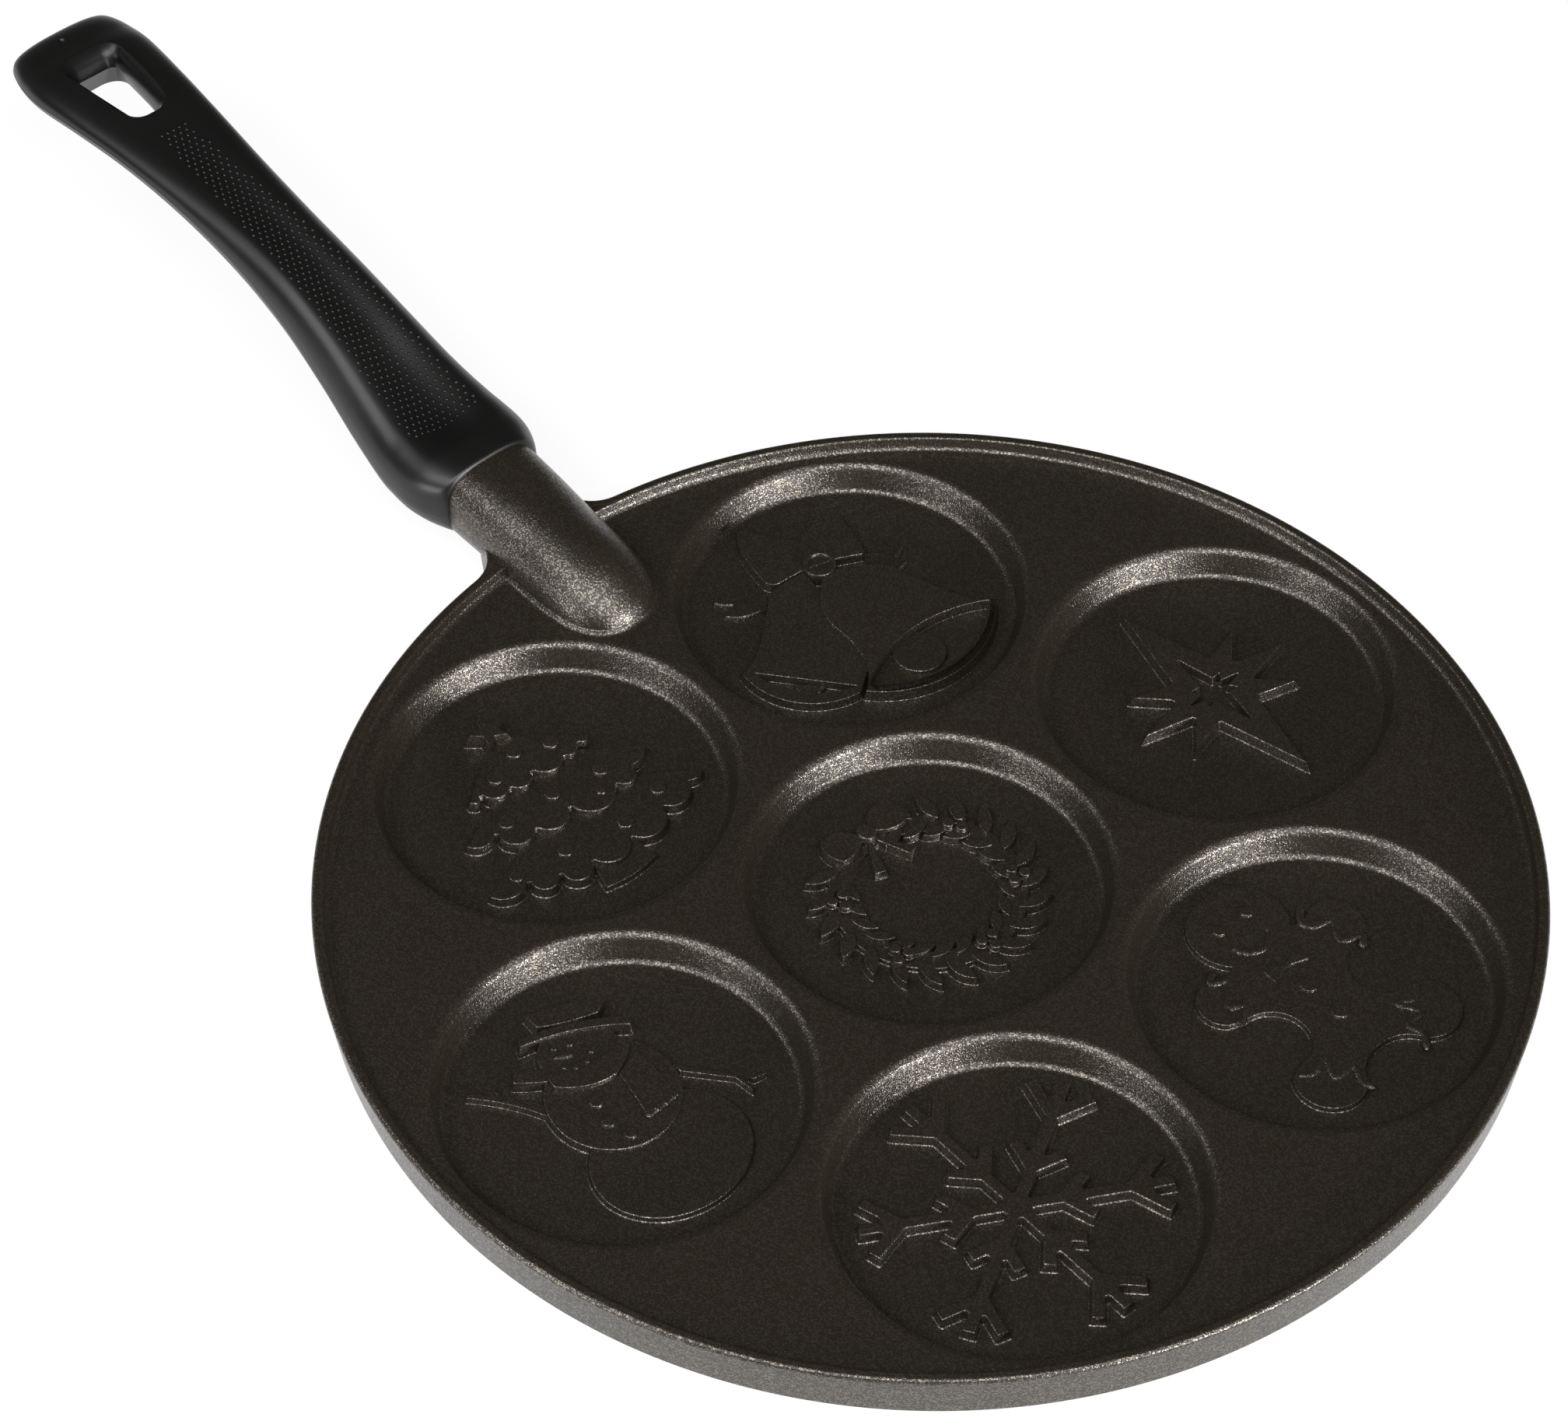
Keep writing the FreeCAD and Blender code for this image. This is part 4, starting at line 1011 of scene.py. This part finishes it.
# %% [markdown]
# # Tree
# Three tiers of boughs over a pot, laid like shingles: each tier stands highest along its lobed
# lower edge and slopes down to where the next one covers it. The slope is a scaling of its heights
# along the tree. Round baubles and a star sit on top.

# %% Tree
def sloped(shape, points, low, high, low_height, high_height):
    """A tier whose top falls from low_height at x = low to high_height at x = high."""
    known = len(shape.verts)
    raised(shape, points, low_height)
    shape.verts.ensure_lookup_table()
    for vert in shape.verts[known:]:
        along = min(max((vert.co.x - low) / (high - low), 0.0), 1.6)
        share = 1 + along * (high_height / low_height - 1)
        vert.co.z = CUP_FLOOR + (vert.co.z - CUP_FLOOR) * max(share, 0.1)


lower_tier = [(-4.0, 13.0, 0), (-8.0, 18.9, 0), (-13.6, 30.4, 0.6), (-16.4, 21.1, 1.0), (-19.3, 14.5, 1.0),
              (-21.1, 6.7, 0.7), (-21.4, -3.9, 0.75), (-19.3, -15.0, 0.7), (-17.1, -23.9, 0.5), (-15.8, -29.1, 0),
              (-8.0, -19.2, 0), (-4.0, -13.0, 0)]
middle_tier = [(9.0, 11.0, 0), (6.4, 15.1, 0), (1.1, 25.4, 0.6), (-1.1, 17.9, 0.95), (-5.8, 10.4, 0.72),
               (-5.8, 0.8, 0.8), (-7.4, -11.1, 0.9), (-5.5, -17.4, 0.35), (-1.8, -24.1, 0), (4.5, -15.5, 0),
               (9.0, -11.0, 0)]
top_tier = [(22.0, 2.2, 0), (20.1, 5.1, 0), (10.4, 17.1, 1.0), (9.5, 13.6, 0.67), (7.0, 7.3, 0.75), (7.75, 0.6, 0.63),
            (6.4, -7.5, 0.63), (7.6, -12.4, 0.9), (8.75, -15.8, 0), (20.1, -4.0, 0), (22.0, -1.4, 0)]
pot = [(-20.0, 7.0, 0), (-28.2, 9.2, 0.14), (-28.2, -5.8, 0), (-20.0, -4.6, 0)]
tree = bmesh.new()
raised(tree, softened(outline_points(pot)), 1.3)
sloped(tree, softened(outline_points(lower_tier), 0.3), -19.0, -5.0, 2.3, 1.0)
sloped(tree, softened(outline_points(middle_tier), 0.3), -6.0, 8.0, 2.5, 1.2)
sloped(tree, softened(outline_points(top_tier), 0.3), 7.0, 21.0, 2.7, 1.6)
for x, y, level in ((15.3, -0.1, 1.85), (11.8, 8.0, 2.15), (12.1, -7.9, 2.15), (0.3, 14.0, 1.75), (0.3, 1.1, 1.75),
                    (-1.3, -11.4, 1.9), (-12.9, 21.8, 1.55), (-14.4, 9.3, 1.7), (-16.9, -5.7, 1.95), (-13.8, -17.6, 1.6)):
    button(tree, x, y, 2.0, level, 0.75)
button(tree, -6.6, -7.3, 1.2, 2.3, 0.6)
tree_star = [Vector((23.3 + reach * math.cos(math.radians(36 * k)), 0.6 + reach * math.sin(math.radians(36 * k))))
             for k, reach in enumerate((6.2, 2.9) * 5)]
raised(tree, softened(tree_star, 0.25), 3.3, foot=0.22, edge=0.22)
ornament(tree, TREE, "tree_relief")

# %% [markdown]
# # Bells
# Two bells hang under a bow, the near one in front. Their mouths are hollowed, with a lip left
# round them and a clapper inside. Short ridges beside them show that they swing.

# %% Bells
bells = bmesh.new()
raised(bells, softened(outline_points([
    (14.6, 1.0, 0.12), (14.8, 12.2, -0.05), (6.4, 21.6, -0.15), (0.0, 33.0, 0.45), (-22.6, 16.0, 0), (-14.0, 4.0, 0),
]), 0.3), 2.1, foot=0.25, edge=0.25, pits=[(softened(outline_points([(-1.8, 30.4, 0.32), (-20.2, 15.4, 0)]), 0.15), 1.9)])
raised(bells, softened(outline_points([
    (10.6, -4.2, 0.30), (7.8, 2.6, 0.20), (-3.0, 8.2, -0.10), (-15.0, 9.6, -0.18),
    (-23.0, 16.2, 0.50), (-21.2, -26.4, -0.18), (-10.4, -19.4, -0.05), (1.4, -15.8, 0.18),
]), 0.3), 2.65, foot=0.25, edge=0.25, pits=[(softened(outline_points([(-22.0, 13.6, 0.45), (-20.6, -24.4, 0.30)]), 0.15), 2.4)])
raised(bells, circle_points(-21.0, -2.7, 6.4, count=48), 1.1, 0.1, foot=0.2, edge=0.35)
raised(bells, softened(outline_points([(-9.4, 25.2, 0.85), (-14.9, 19.9, 0)]), 0.15), 0.9, 0.1, foot=0.15, edge=0.3)
raised(bells, softened(outline_points([
    (33.6, 5.6, 0.15), (25.0, 9.4, 0.05), (17.4, 10.6, 0.3), (15.0, 8.0, 0), (14.6, 1.6, 0),
    (12.0, -7.6, 0), (9.4, -12.6, 0.3), (10.6, -14.2, 0.05), (17.0, -15.8, 0),
    (23.4, -17.6, 0.3), (26.4, -14.0, 0.05), (23.0, -4.8, -0.1), (33.8, 2.2, 0.5),
]), 0.3), 2.2, foot=0.2, edge=0.22)
raised(bells, circle_points(13.6, -2.7, 4.5, count=40), 2.9, foot=0.2, edge=0.25,
       pits=[(circle_points(13.8, -3.0, 2.7, count=28), 0.9)])
for path in ([(22.0, 22.3), (19.8, 21.0), (18.3, 18.8)], [(17.0, 23.3), (14.2, 20.2), (12.6, 14.8)],
             [(7.0, -22.4), (6.0, -20.4), (5.1, -18.6)], [(2.6, -19.9), (2.2, -18.0), (2.0, -16.4)]):
    bead(bells, path, 0.75, 0.0, 1.0)
ornament(bells, BELLS, "bells_relief")

# %% [markdown]
# # Wreath
# The middle cup carries a plain wreath: two circles of leaves on a ring, with berries in threes
# and a bow towards the grip.

# %% Wreath
def leaf_points(centre_angle, radius, lean, length, width):
    """A pointed leaf that starts on the ring at an angle and leans away from the ring's direction."""
    spot = Vector((math.cos(centre_angle), math.sin(centre_angle))) * radius
    heading = Matrix.Rotation(centre_angle + math.pi / 2 - lean, 2) @ Vector((1, 0))
    tip = spot + heading * length
    return outline_points([(spot.x, spot.y, width), (tip.x, tip.y, width)], 0.6)


wreath = bmesh.new()
raised(wreath, circle_points(0, 0, 22.0, count=120), 1.1, pits=[(circle_points(0, 0, 17.0, count=96), 1.04)])
LEAVES = 22
for leaf in range(LEAVES):
    angle = 2 * math.pi * leaf / LEAVES
    if abs((angle + math.pi) % (2 * math.pi) - math.pi) < 0.30:
        continue
    raised(wreath, softened(leaf_points(angle, 19.8, math.radians(46), 9.4, 0.42), 0.2), 1.9 + 0.12 * (leaf % 2), foot=0.2, edge=0.25)
    raised(wreath, softened(leaf_points(angle + 0.14, 19.2, math.radians(-42), 7.6, 0.42), 0.2), 1.65 + 0.12 * (leaf % 2),
           foot=0.2, edge=0.25)
for group in range(5):
    angle = math.radians(60 + 60 * group)
    spot = Vector((math.cos(angle), math.sin(angle))) * 19.6
    for berry in range(3):
        place = spot + Matrix.Rotation(angle + math.radians(120 * berry), 2) @ Vector((1.75, 0))
        button(wreath, place.x, place.y, 1.5, 1.6, 1.15)
loops = [(20.6, 0.6, 0), (23.6, 2.4, 0.30), (25.6, 9.6, 0.35), (17.0, 9.4, 0.30)]
tails = [(19.6, 1.2, 0), (10.4, 6.6, 0), (9.2, 3.4, 0), (17.6, 0.2, 0)]
for side in (1, -1):
    for outline, height in ((tails, 2.1), (loops, 2.5)):
        points = outline_points([(x, y * side, bulge * side) for x, y, bulge in outline])
        points = points[::-1] if turn_of(points) < 0 else points
        raised(wreath, softened(points, 0.3), height, foot=0.2, edge=0.25)
raised(wreath, circle_points(20.4, 0, 3.0, 2.6, 36), 3.0, foot=0.2, edge=0.45)
ornament(wreath, MIDDLE, "wreath_relief")

# %% [markdown]
# # Screw and washer
# The CAD's own screw and lock washer are right as they are. They get their zinc finish.

# %% Fasteners
for name in ("handle_screw", "lock_washer"):
    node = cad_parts[name]
    node.data.materials.clear()
    node.data.materials.append(ZINC)
